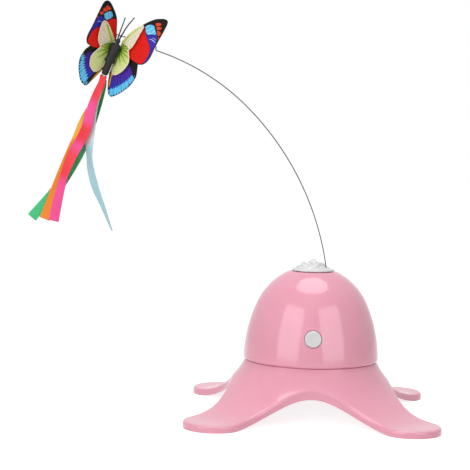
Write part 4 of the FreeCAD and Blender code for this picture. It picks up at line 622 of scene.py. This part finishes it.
def pale_film():
    """Inner wings: cream fore part with pink cross lines and a lime front, and a lime hind lobe with rays."""
    material, tree, shader = finish("pale_printed_film", "#e4ebba", 0.36, Specular_IOR_Level=0.15)
    brush = ink(tree, 50.0)
    reach = field(tree, "reach")
    outward = ramp(tree, reach, 3.0, 14.0)
    cross = calc(tree, "PINGPONG", calc(tree, "MULTIPLY_ADD", brush, 1.6, reach), CROSS_HALF_PITCH)
    cross = ramp(tree, cross, 0.1, 0.4, 0.6, 0.0)
    rays = lines(tree, 0.13, 0.55, 0.1)
    fore = mix(tree, cross, mix(tree, brush, "#ece9c6", "#fbf7e0"), "#e2c6b8")
    fore = mix(tree, both(tree, both(tree, rays, brush), brush), fore, "#a3b25a")
    front = mix(tree, rays, mix(tree, brush, "#c6da58", "#e8ee94"), "#a2b448")
    fore = coat(tree, fore, "front", front, 0.0, 0.5)
    hind = mix(tree, outward, "#b2dc34", "#eaf4a2")
    hind = mix(tree, both(tree, both(tree, cross, outward), brush), hind, "#c9b79a")
    near = ramp(tree, reach, 6.0, 15.0, 0.8, 0.05)
    hind = mix(tree, both(tree, lines(tree, 0.16, 1.0, 0.16), near), hind, "#4c741e")
    colour = coat(tree, fore, "lobe", "#66812c", -0.35, 0.1)
    colour = coat(tree, colour, "lobe", hind, 0.0, 0.12)
    colour = mix(tree, near_rim(tree, 0.5, 1.0), colour, "#efe6c6")
    tree.links.new(colour, shader.inputs["Base Color"])
    emboss(tree, shader, rays, 0.00004)
    return material


finishes["inner_film"] = pale_film()

# %% Right wing
RIGHT_EDGE = [
    [(2.5, -2.9), (6.2, 4.7), (12.7, 13.3), (19.0, 19.4), (23.7, 21.8), (27.7, 22.7), (29.8, 20.8),
     (29.5, 14.4), (28.1, 3.2), (27.3, -7.8), (24.6, -13.1), (20.7, -14.8)],
    [(20.7, -14.8), (22.5, -20.9), (22.9, -24.3), (21.3, -31.0), (17.6, -37.2), (14.1, -41.3),
     (10.7, -43.8), (7.8, -42.4), (5.1, -37.3), (2.5, -28.5)],
]
RIGHT_FIELDS = {
    "window": [
        [(20.4, 16.9), (22.5, 18.2), (25.0, 18.8), (26.0, 17.8), (23.7, 16.2), (21.5, 15.7)],
        [(22.3, 14.8), (24.4, 16.0), (26.7, 16.1), (27.1, 14.9), (25.2, 13.7), (23.2, 13.5)],
        [(24.1, 12.2), (25.7, 13.1), (27.8, 12.4), (28.1, 11.2), (27.3, 9.7), (25.4, 10.5)],
        [(26.8, 7.7), (27.8, 8.9), (28.5, 7.9), (27.8, 6.1)],
    ],
    "pale": [[(14.9, 12.4), (16.5, 14.3), (19.0, 15.4), (21.3, 15.1), (22.9, 12.9), (25.0, 10.2), (21.7, 9.0),
              (18.9, 7.9), (17.3, 8.7), (15.9, 10.8)]],
    "band": [[(15.4, 10.6), (17.6, 7.4), (21.6, 8.8), (25.1, 10.3), (26.7, 7.5), (27.3, 4.8), (27.8, 1.4),
              (27.2, -3.1), (26.7, -7.2), (25.9, -11.0), (22.0, -13.8), (20.0, -6.0), (17.0, 3.0)]],
    "red": [[(3.2, -3.0), (6.4, 3.2), (12.2, 11.2), (15.2, 12.0), (15.5, 10.3), (17.2, 7.8), (19.7, 4.9),
             (22.4, 2.2), (24.5, -0.8), (25.6, -4.8), (25.2, -8.6), (24.4, -11.8), (22.5, -13.6),
             (19.9, -14.0), (16.1, -13.4), (10.0, -12.0), (4.0, -9.0)]],
    "violet": [[(10.0, -16.0), (13.6, -16.6), (17.7, -20.4), (19.6, -22.9), (19.4, -26.0), (17.6, -30.0),
                (14.8, -34.0), (11.8, -37.0), (8.0, -39.6), (6.4, -37.0), (5.6, -32.0), (6.0, -24.0)]],
    "margin": [[(19.9, -23.6), (22.3, -24.6), (21.2, -30.8), (17.6, -36.9), (14.1, -41.1), (10.7, -43.6),
                (8.3, -42.4), (7.2, -39.6), (11.0, -36.4), (14.0, -33.2), (16.3, -29.9), (18.0, -26.9)]],
    "amber": [[(3.0, -26.0), (5.9, -27.5), (5.3, -30.5), (5.9, -33.1), (6.6, -38.5), (4.6, -34.0)]],
    # Thin pale lines over the blue band: a painted highlight.
    "painted_glint": [[(20.7, 5.5), (23.2, 5.8), (25.2, 5.5), (27.0, 4.6), (26.9, 4.1), (25.0, 4.8), (23.0, 5.2),
               (20.9, 4.9)],
              [(23.2, 6.9), (25.0, 7.1), (26.8, 6.5), (26.8, 6.1), (25.0, 6.6), (23.2, 6.5)]],
}
wing("right_wing", 1, RIGHT_EDGE, RIGHT_FIELDS, (2.0, -9.0), "wing_film", "right_wings")

# %% Left wing
LEFT_EDGE = [
    [(-2.5, -2.3), (-4.0, 2.0), (-7.2, 10.8), (-12.2, 17.0), (-15.4, 19.2), (-17.9, 16.9), (-18.8, 8.9),
     (-19.5, -1.4), (-20.3, -9.9), (-19.0, -14.5), (-16.4, -15.6)],
    [(-16.4, -15.6), (-18.5, -19.6), (-19.6, -26.6), (-18.3, -33.2), (-15.0, -40.0), (-12.0, -42.9),
     (-9.4, -43.3), (-7.5, -39.6), (-5.8, -35.3), (-3.8, -30.1), (-2.5, -26.0)],
]
LEFT_FIELDS = {
    "window": [
        [(-16.1, 13.9), (-15.6, 15.5), (-14.4, 15.8), (-12.6, 15.0), (-12.5, 14.0), (-13.6, 13.4),
         (-15.2, 13.3)],
        [(-17.4, 11.9), (-16.6, 13.3), (-14.8, 13.3), (-13.7, 12.7), (-14.3, 11.9), (-15.8, 10.8),
         (-16.8, 11.1)],
        [(-18.3, 7.7), (-18.0, 9.8), (-16.5, 10.3), (-15.6, 9.9), (-16.4, 8.4), (-17.6, 7.2)],
        [(-19.0, 4.6), (-18.6, 6.1), (-18.0, 5.4), (-18.4, 4.3)],
    ],
    "pale": [[(-16.4, 7.9), (-14.4, 10.8), (-13.0, 12.4), (-11.6, 12.9), (-10.0, 11.1), (-10.1, 9.5),
              (-11.5, 7.4), (-12.4, 6.3), (-14.4, 6.9)]],
    "band": [[(-18.7, 3.8), (-16.0, 7.5), (-14.1, 6.7), (-11.4, 7.0), (-9.8, 6.0), (-12.0, 0.9),
              (-15.0, -4.7), (-18.4, -10.3), (-19.4, -8.9), (-19.0, -2.4)]],
    "red": [[(-19.0, -13.0), (-19.0, -9.2), (-18.1, -4.6), (-14.8, 0.3), (-12.6, 4.0), (-11.2, 6.6),
             (-9.4, 8.7), (-6.6, 9.2), (-5.2, 6.2), (-3.8, 2.0), (-2.8, -4.0), (-4.0, -10.0), (-10.2, -13.8),
             (-12.3, -15.1), (-16.1, -15.3)]],
    "violet": [[(-17.4, -23.4), (-13.2, -18.6), (-8.0, -18.0), (-5.0, -24.0), (-7.2, -31.4), (-9.7, -37.8),
                (-11.8, -37.2), (-15.4, -31.0), (-16.9, -27.4)]],
    "margin": [[(-19.0, -22.6), (-19.4, -26.6), (-18.1, -33.2), (-14.8, -39.8), (-12.0, -42.7), (-9.8, -42.9),
                (-9.4, -39.0), (-11.0, -36.0), (-14.0, -32.0), (-16.0, -28.4), (-16.9, -24.4)]],
    "amber": [[(-3.4, -25.0), (-5.4, -30.6), (-6.7, -35.0), (-8.2, -41.0), (-6.0, -36.0), (-4.3, -31.6),
               (-3.0, -27.7)]],
    # Thin pale lines over the blue band: a painted highlight.
    "painted_glint": [[(-18.2, 2.1), (-16.9, 3.3), (-15.5, 3.8), (-14.6, 3.6), (-15.5, 3.2), (-16.9, 2.6),
               (-18.0, 1.5)]],
}
wing("left_wing", -1, LEFT_EDGE, LEFT_FIELDS, (-2.0, -9.0), "wing_film", "left_wings")

# %% Inner wings
RIGHT_INNER_EDGE = [
    [(2.5, -4.7), (3.5, -0.6), (5.8, 4.4), (9.0, 9.1), (12.6, 12.8), (14.2, 11.6), (13.8, 7.2),
     (12.1, -3.5), (10.1, -7.8)],
    [(10.1, -7.8), (13.4, -14.4), (13.6, -18.5), (11.9, -23.4), (9.4, -26.7), (6.9, -28.5), (4.6, -27.9),
     (2.5, -24.5)],
]
LEFT_INNER_EDGE = [
    [(-2.5, -5.2), (-5.6, -1.1), (-8.4, 2.3), (-10.7, 4.6), (-12.5, 5.4), (-14.0, 3.5), (-13.9, -2.9),
     (-12.6, -9.6), (-9.8, -13.3)],
    [(-9.8, -13.3), (-12.9, -20.8), (-12.8, -24.9), (-11.8, -28.5), (-10.0, -30.7), (-7.4, -31.9),
     (-5.0, -29.7), (-2.5, -24.0)],
]
wing("right_inner_wing", 1, RIGHT_INNER_EDGE, {
    "lobe": [[(1.0, -6.5), (4.5, -5.4), (7.5, -6.0), (10.1, -7.6), (15, -12), (16, -20), (12, -31),
              (1, -31)]],
    "front": [[(1.5, -7.0), (2.0, 0.0), (5.2, 5.4), (8.6, 10.3), (12.0, 14.0), (12.4, 11.2), (9.8, 6.6),
               (7.2, 1.8), (5.4, -3.2), (4.0, -6.0)]],
}, (2.0, -9.0), "inner_film", "right_wings", INNER_LIFT, INNER_GAP)
wing("left_inner_wing", -1, LEFT_INNER_EDGE, {
    "lobe": [[(-1.0, -8.5), (-4.0, -7.6), (-7.0, -9.5), (-9.9, -13.0), (-15, -16), (-15.5, -26), (-10, -34),
              (-1, -33)]],
    "front": [[(-1.5, -7.5), (-2.5, -3.4), (-5.2, 0.2), (-8.2, 3.6), (-10.6, 5.8), (-12.6, 5.9), (-11.2, 2.2),
               (-8.9, -1.2), (-6.9, -4.4), (-5.0, -7.6)]],
}, (-2.0, -10.0), "inner_film", "left_wings", INNER_LIFT, INNER_GAP)

# %% [markdown]
# ## Body, feelers and knot
#
# The body is a black flocked form. It has a small head, a broad chest that ends in two short spurs, and a
# ringed tail. It is a tube of ellipses: along it the half width and half depth follow smooth curves.

# %% Flock
def flock():
    """Flocked black: short soft fibres that scatter light at a glancing angle, with a grain of 0.25 mm."""
    material, tree, shader = finish("black_flock", "#0d0d0f", 0.5, Specular_IOR_Level=0.3, Sheen_Weight=0.06,
                                    Sheen_Roughness=0.45, Sheen_Tint=linear("#9a9aa2"))
    fibres = object_noise(tree, 0.00025, detail=3.0)
    vary_colour(tree, shader, fibres, "#060607", "#141418")
    emboss(tree, shader, fibres, 0.00006)
    return material


finishes["plush"] = flock()

# %% Body
BODY_STATIONS = [
    # headward, half width, half depth, middle
    (-31.2, 0.05, 0.05, 0.0),
    (-31.1, 1.2, 1.1, 0.0),
    (-30.6, 2.15, 1.9, 0.0),
    (-29.2, 2.55, 2.4, 0.0),
    (-26.5, 2.65, 2.8, -0.1),
    (-21.6, 2.75, 3.0, -0.2),
    (-20.3, 3.7, 2.9, -0.4),
    (-19.2, 4.1, 3.0, -0.5),
    (-17.6, 3.3, 3.2, -0.4),
    (-14.8, 3.7, 3.5, -0.2),
    (-11.0, 4.2, 3.7, 0.0),
    (-8.2, 3.9, 3.4, 0.0),
    (-6.9, 2.6, 2.5, 0.0),
    (-6.2, 1.6, 1.7, 0.0),
    (-5.3, 1.8, 1.9, 0.0),
    (-4.0, 1.75, 1.8, 0.0),
    (-3.1, 1.1, 1.1, 0.0),
    (-2.8, 0.05, 0.05, 0.0),
]
BODY_ROWS = 150
BODY_SIDES = 72
RING_PITCH = 1.7
RING_DEPTH = 0.045
RIDGE_HEIGHT = 0.05
FLANK_DEPTH = 0.12
SPUR_DROP = 0.9
SPUR_WIDTH = 2.8


def make_body():
    """Ellipses along the body: x = width cos, y = middle + depth sin, with rings round the tail.

    A ridge runs along the chest, the spurs droop, and the flanks are flatter behind, by the inner wings.
    """
    stations, _ = smooth_path(BODY_STATIONS, BODY_ROWS)
    height, wide, deep, middle = stations.T[:, :, None]
    down = -height
    turn = np.linspace(0, 2 * math.pi, BODY_SIDES, endpoint=False)[None, :]
    crest = (0.5 + 0.5 * np.cos(2 * math.pi * height / RING_PITCH)) ** 3
    rings = crest * span(down, (21.5, 23.0), (29.6, 30.9))
    flank = np.exp(-((np.sin(turn) - 0.55) / 0.35) ** 2) * span(down, (5, 8), (20, 22))
    ridge = np.exp(-((np.sin(turn) + 1) / 0.12) ** 2) * span(down, (8, 11), (17, 20))
    spur = (wide > SPUR_WIDTH) * np.cos(turn) ** 4 * span(down, (17.4, 19.0), (20.2, 21.4))
    scale = (1 - RING_DEPTH * rings) * (1 - FLANK_DEPTH * flank)
    x = wide * scale * np.cos(turn)
    y = middle + deep * scale * (1 + RIDGE_HEIGHT * ridge) * np.sin(turn)
    z = height - SPUR_DROP * spur
    mesh_object("body_form", perched(x, y, z), "plush", "butterfly", wrap=True, replaces=("butterfly_body",))


make_body()

# %% Tube helper and feelers
FEELER_ROWS = 40


def tube_grid(path, radius, sides=12):
    """Circles of the given radius round a path, each square to it; the ends shrink to points and close."""
    path = np.asarray(path, float)
    radius = np.array(np.broadcast_to(radius, len(path)))
    radius[[0, -1]] *= 1e-3
    along = np.gradient(path, axis=0)
    along /= np.linalg.norm(along, axis=1)[:, None]
    side = np.cross(along, BACK)
    side /= np.linalg.norm(side, axis=1)[:, None]
    other = np.cross(side, along)
    turn = np.linspace(0, 2 * math.pi, sides, endpoint=False)[None, :, None]
    ring = side[:, None] * np.cos(turn) + other[:, None] * np.sin(turn)
    return path[:, None] + ring * radius[:, None, None]


def make_feeler(name, points, radius):
    """A stiff thread that thins to the tip and ends in a small club."""
    path, _ = smooth_path(points, FEELER_ROWS)
    share = np.linspace(0, 1, FEELER_ROWS)
    thick = radius * (1 - 0.32 * share) + 0.1 * np.exp(-((share - 0.97) / 0.03) ** 2)
    mesh_object(name, tube_grid(perched(*path.T), thick), "plush", "butterfly", wrap=True)


make_feeler("feeler_left", [
    (-0.6, -0.5, -3.6), (-0.9, -0.8, -0.5), (-1.1, -1.4, 6.5), (-1.3, -2.4, 13.4)], 0.55)
make_feeler("feeler_right", [
    (0.6, -0.5, -3.6), (0.9, -0.8, -0.5), (2.4, -1.4, 8.0), (5.0, -2.4, 15.8)], 0.6)

# %% [markdown]
# ## Ribbons
#
# Four satin ribbons are tied together under the tail. Satin shows long soft bands, and these are painted: set
# stretches along each ribbon are coloured paler as painted sheen, and the rest keep a deeper colour as
# painted shade. Each ribbon is a strip along a curve. It is narrower towards the knot because its edges fold
# back there, so its cut width stays the same all along, and it has long waves and a slow twist.

# %% Satin
THREAD_PITCH = 0.003
THREAD_SHEEN = 0.04


def satin(name, deep, bright):
    """Satin weave: threads 0.3 mm apart along the strip, painted a little whiter as painted sheen, and paler
    painted sheen on the lit stretches.
    """
    material, tree, shader = finish(name, bright, 0.4, Specular_IOR_Level=0.25, Sheen_Weight=0.12,
                                    Sheen_Roughness=0.35, Sheen_Tint=linear(bright), Anisotropic=0.4)
    strip = add(tree, "UVMap", uv_map="film").outputs[0]
    threads = add(tree, "TexWave", {"Vector": strip, "Scale": WAVE_UNIT / THREAD_PITCH, "Distortion": 0.6,
                                    "Detail": 1.0}, bands_direction="X").outputs[1]
    # Painted sheen and shade: the lit stretches take the paler colour, and the rest take the deeper one.
    colour = mix(tree, field(tree, "lit"), deep, bright)
    colour = mix(tree, calc(tree, "MULTIPLY", threads, THREAD_SHEEN), colour, "#ffffff")
    tree.links.new(colour, shader.inputs["Base Color"])
    emboss(tree, shader, threads, 0.00001)
    return material


# Each satin gets a deeper colour as its painted shade and a paler one as its painted sheen.
finishes["ribbon_pink"] = satin("hot_pink_satin", "#fc2c40", "#ff4c98")
finishes["ribbon_orange"] = satin("orange_satin", "#f78c00", "#ffc43c")
finishes["ribbon_green"] = satin("green_satin", "#1f9a54", "#42cf86")
finishes["ribbon_blue"] = satin("light_blue_satin", "#b0e0e8", "#dff2f7")

# %% Ribbon builder, in millimetres and shares of the length
KNOT = np.array([-156.584, PERCH[1], 243.262])
RIBBON_WIDTH = 7.6
RIBBON_WALL = 0.2
RIBBON_ROWS = 170
RIBBON_COLUMNS = 49
FOLD_RADIUS = 0.24
PULLED = 0.62
PULL_END = 0.4
SPREAD_END = 0.16
WAVES = 2.2
CURL = 0.18
CURLS = 3.1
PAINTED_SHEEN_EDGE = 0.04


def folded(along, flat):
    """Across and back of a strip's section: flat to the fold, half round it, then back behind the front."""
    bend = np.clip((along - flat) / FOLD_RADIUS, 0, math.pi)
    rest = np.clip(along - flat - math.pi * FOLD_RADIUS, 0, None)
    return np.minimum(along, flat) + FOLD_RADIUS * np.sin(bend) - rest, FOLD_RADIUS * (1 - np.cos(bend))


def ribbon(name, slot, layer, wave, width, twist, lit, near, line):
    """A strip along a curve: depth = layer + wave, width turned by twist, edges folded back to the knot.

    line runs in X and Z from the knot, wave is a height in mm and a phase, twist is in degrees at shares of
    the length, lit holds the stretches painted paler as painted sheen, and near is the share of the layer's
    depth at the knot.
    """
    path, length = smooth_path(KNOT[[0, 2]] + line, RIBBON_ROWS)
    share = np.linspace(0, 1, RIBBON_ROWS)
    along = np.gradient(path, axis=0)
    along /= np.linalg.norm(along, axis=1)[:, None]
    spread = ease(share, 0, SPREAD_END)
    rise, phase = wave
    depth = KNOT[1] + layer * (near + (1 - near) * spread)
    depth = depth + rise * spread * np.sin(2 * math.pi * (WAVES * share + phase))
    turn = np.radians(np.interp(share, *zip(*twist)))
    across = np.stack([-along[:, 1] * np.cos(turn), -np.sin(turn), along[:, 0] * np.cos(turn)], axis=1)
    normal = np.stack([along[:, 1] * np.sin(turn), -np.cos(turn), -along[:, 0] * np.sin(turn)], axis=1)
    middle = np.stack([path[:, 0], depth, path[:, 1]], axis=1)
    side = np.linspace(-1, 1, RIBBON_COLUMNS)[None, :]
    half = width / 2
    pull = (PULLED + (1 - PULLED) * ease(share, 0, PULL_END))[:, None]
    out, back = folded(np.abs(side) * half, pull * half - FOLD_RADIUS * ease(pull, 1.0, 0.9))
    curl = CURL * np.sin(2 * math.pi * (CURLS * share + phase))[:, None]
    lift = curl * (side ** 2 - 0.4) - back
    wide = np.sign(side) * out
    grid = middle[:, None] + across[:, None] * wide[..., None] + normal[:, None] * lift[..., None]
    # Painted sheen: 1 along the lit stretches, easing off over a short share at each end.
    glow = np.max([span(share, (low - PAINTED_SHEEN_EDGE, low + PAINTED_SHEEN_EDGE), (high - PAINTED_SHEEN_EDGE, high + PAINTED_SHEEN_EDGE))
                   for low, high in lit], axis=0)
    texture = np.stack(np.broadcast_arrays(side * half, share[:, None] * length), axis=-1) / TEXTURE_SPAN
    piece = mesh_object(name + "_satin", grid, slot, "ribbons", texture=texture,
                        attributes={"lit": glow[:, None]}, replaces=(name,))
    thicken(piece, RIBBON_WALL)
    print(name, "flat, mm:", width, "x", round(length, 1))


# %% Four ribbons
# The lit stretches are painted sheen, laid along set shares of each ribbon's length.
ribbon("pink_ribbon", "ribbon_pink", layer=-4.6, wave=(1.0, 0.0), width=RIBBON_WIDTH,
       twist=[(0, 0), (0.45, 0), (0.7, 38), (1, 6)], lit=[(0.17, 0.33), (0.45, 0.52), (0.71, 1.1)], near=0.34,
       line=[(0.1, 0.15), (-0.2, -1.6), (-1.3, -5.4), (-3.9, -11.2), (-7.7, -22.9), (-10.3, -34.6),
             (-12.8, -41.8), (-18.5, -52.2), (-22.6, -60.4), (-26.1, -69.9), (-29.1, -81.6), (-31.8, -93.4),
             (-34.3, -105.9)])
ribbon("blue_ribbon", "ribbon_blue", layer=-1.4, wave=(0.4, 0.3), width=RIBBON_WIDTH - 0.6,
       twist=[(0, 0), (0.3, 0), (0.5, 48), (0.66, 32), (0.8, 52), (1, 76)], lit=[(-0.1, 0.42)], near=0.4,
       line=[(0.0, -1.9), (-2.5, -8.2), (-5.0, -17.0), (-7.5, -28.6), (-8.7, -40.3), (-9.4, -53.0),
             (-8.6, -63.7), (-7.2, -70.5), (-4.2, -81.1), (0.5, -92.7), (5.4, -104.4), (8.6, -112.4)])
ribbon("orange_ribbon", "ribbon_orange", layer=3.0, wave=(0.8, 0.45), width=RIBBON_WIDTH,
       twist=[(0, 0), (0.5, -6), (1, 6)], lit=[(0.28, 0.44)], near=0.4,
       line=[(0.0, -1.9), (-3.3, -11.0), (-6.9, -19.8), (-10.9, -27.0), (-15.0, -35.6), (-18.6, -45.0),
             (-25.2, -61.2), (-32.4, -79.0), (-36.6, -90.0), (-42.0, -105.0)])
ribbon("green_ribbon", "ribbon_green", layer=6.2, wave=(0.8, 0.7), width=RIBBON_WIDTH,
       twist=[(0, 0), (0.5, 6), (1, -8)], lit=[(0.46, 1.1)], near=0.25,
       line=[(0.0, -1.9), (-0.7, -7.9), (-2.8, -15.0), (-7.4, -28.5), (-11.5, -40.3), (-15.6, -51.5),
             (-20.8, -62.0), (-31.3, -79.1), (-40.5, -91.0), (-52.0, -104.2)])

# %% Knot, in millimetres
KNOT_WAIST = 0.7
KNOT_RADIUS = 1.45
KNOT_NEAR = 0.65
KNOT_SHOULDER = 0.3
KNOT_FAR = 2.65
KNOT_ROWS = 64
KNOT_SIDES = 60
PLEATS = 9
PLEAT_DEPTH = 0.06
PLEAT_RISE = 0.2


def make_knot():
    """Pleated satin through the tail loop: a tube across it, thin in the loop and full on both sides."""
    across = np.linspace(-KNOT_FAR, KNOT_FAR, KNOT_ROWS)[:, None]
    full = ease(np.abs(across), KNOT_NEAR, KNOT_NEAR + KNOT_SHOULDER)
    radius = KNOT_WAIST + (KNOT_RADIUS - KNOT_WAIST) * full
    radius = radius * np.sqrt(np.clip((KNOT_FAR - np.abs(across)) / 0.8, 0, 1) * 0.99 + 1e-5)
    turn = np.linspace(0, 2 * math.pi, KNOT_SIDES, endpoint=False)[None, :]
    pleated = (KNOT_RADIUS - KNOT_WAIST) * full > PLEAT_RISE
    radius = radius * (1 - PLEAT_DEPTH * pleated * (0.5 + 0.5 * np.sin(PLEATS * turn)))
    x = np.broadcast_to(across, radius.shape)
    y = radius * np.cos(turn)
    z = radius * np.sin(turn)
    mesh_object("knot_satin", perched(x, y, z, KNOT), "ribbon_pink", "ribbons", wrap=True,
                texture=np.stack([x, z], axis=-1) / TEXTURE_SPAN, attributes={"lit": 0.0},
                replaces=("ribbon_knot",))


make_knot()

# %% [markdown]
# ## The cap's relief
#
# The white cap carries a moulded flower: folds that overlap like petals and twist towards a small knob. It is
# a turned profile, and on its top face a saw-toothed wave runs round it and shifts with the radius.

# %% Cap, in millimetres
CAP_BASE = 105.1
CAP_RADIUS = 15.6
CAP_PLUG = 12.5
CAP_DEPTH = 5.6
CAP_SIDE = 1.1
CAP_SWELL = 4.2
CAP_ROWS = 96
CAP_SIDES = 288
WAND_ROOT = (9.7, 0.0, 107.2)
FOLDS = 5
FOLD_HEIGHT = 1.1
FOLD_TWIST = 0.15
FLUTE_HEIGHT = 0.3
KNOB_HEIGHT = 3.2
CAP_PROFILE = [
    # radius and height over the flange, from the relief's edge round to the plug's middle
    (CAP_RADIUS - 0.15, CAP_SIDE - 0.12), (CAP_RADIUS, CAP_SIDE - 0.4), (CAP_RADIUS, 0.2),
    (CAP_RADIUS - 0.06, 0.06), (CAP_RADIUS - 0.2, 0.0), (CAP_PLUG, 0.0), (CAP_PLUG, -0.3),
    (CAP_PLUG, 0.4 - CAP_DEPTH), (CAP_PLUG - 0.3, -CAP_DEPTH), (1.6, -CAP_DEPTH), (0.0, -CAP_DEPTH),
]


def relief(radius, turn):
    """Height over the flange: a domed top with sawtooth folds, a fluted knob, and a dip at the wire."""
    phase = (turn / (2 * math.pi) * FOLDS + FOLD_TWIST * radius + 0.35) % 1.0
    tooth = span(phase, (0.0, 0.8), (0.84, 1.0))
    flutes = np.sin(3 * turn + 1.1 * radius)
    height = (CAP_SIDE + CAP_SWELL * ease(radius, 15.4, 6.5)
              + FOLD_HEIGHT * (tooth - 0.5) * span(radius, (3.6, 6.0), (11.0, 14.6))
              + FLUTE_HEIGHT * flutes * span(radius, (0.4, 1.8), (3.0, 5.4))
              + KNOB_HEIGHT * ease(radius, 5.0, 0.4))
    ahead = radius * np.sin(turn) - WAND_ROOT[1]
    gap = np.hypot(radius * np.cos(turn) - WAND_ROOT[0], np.where(ahead < 0, 0.3, 1.0) * ahead)
    dip = ease(gap, 3.2, 0.8)
    return height * (1 - dip) + np.minimum(height, WAND_ROOT[2] - CAP_BASE) * dip


def make_cap():
    """One closed grid: the relief from the middle outwards, the flange's side, its underside and the plug."""
    turn = np.linspace(0, 2 * math.pi, CAP_SIDES, endpoint=False)[None, :]
    rows = [(radius, relief(radius, turn)) for radius in np.linspace(0, CAP_RADIUS - 0.4, CAP_ROWS)]
    rows += [(radius, np.full_like(turn, height)) for radius, height in CAP_PROFILE]
    grid = np.concatenate([
        np.stack([radius * np.cos(turn), radius * np.sin(turn), CAP_BASE + height], axis=-1)
        for radius, height in rows])
    mesh_object("cap_relief", grid, "white_plastic", "rotor", wrap=True, replaces=("rotor_cap",))


make_cap()

# %% [markdown]
# ## Finishes on the rigid parts
#
# The parts that came with the frame keep their shapes. Each takes the finish of its own material slot.

# %% Dress the frame
dressed = 0
for node in nodes.values():
    for holder in node.material_slots:
        name = holder.material.name.split(".")[0] if holder.material else ""
        if name in finishes:
            holder.material = finishes[name]
            dressed += 1
print("parts dressed:", dressed, "of", len(nodes))
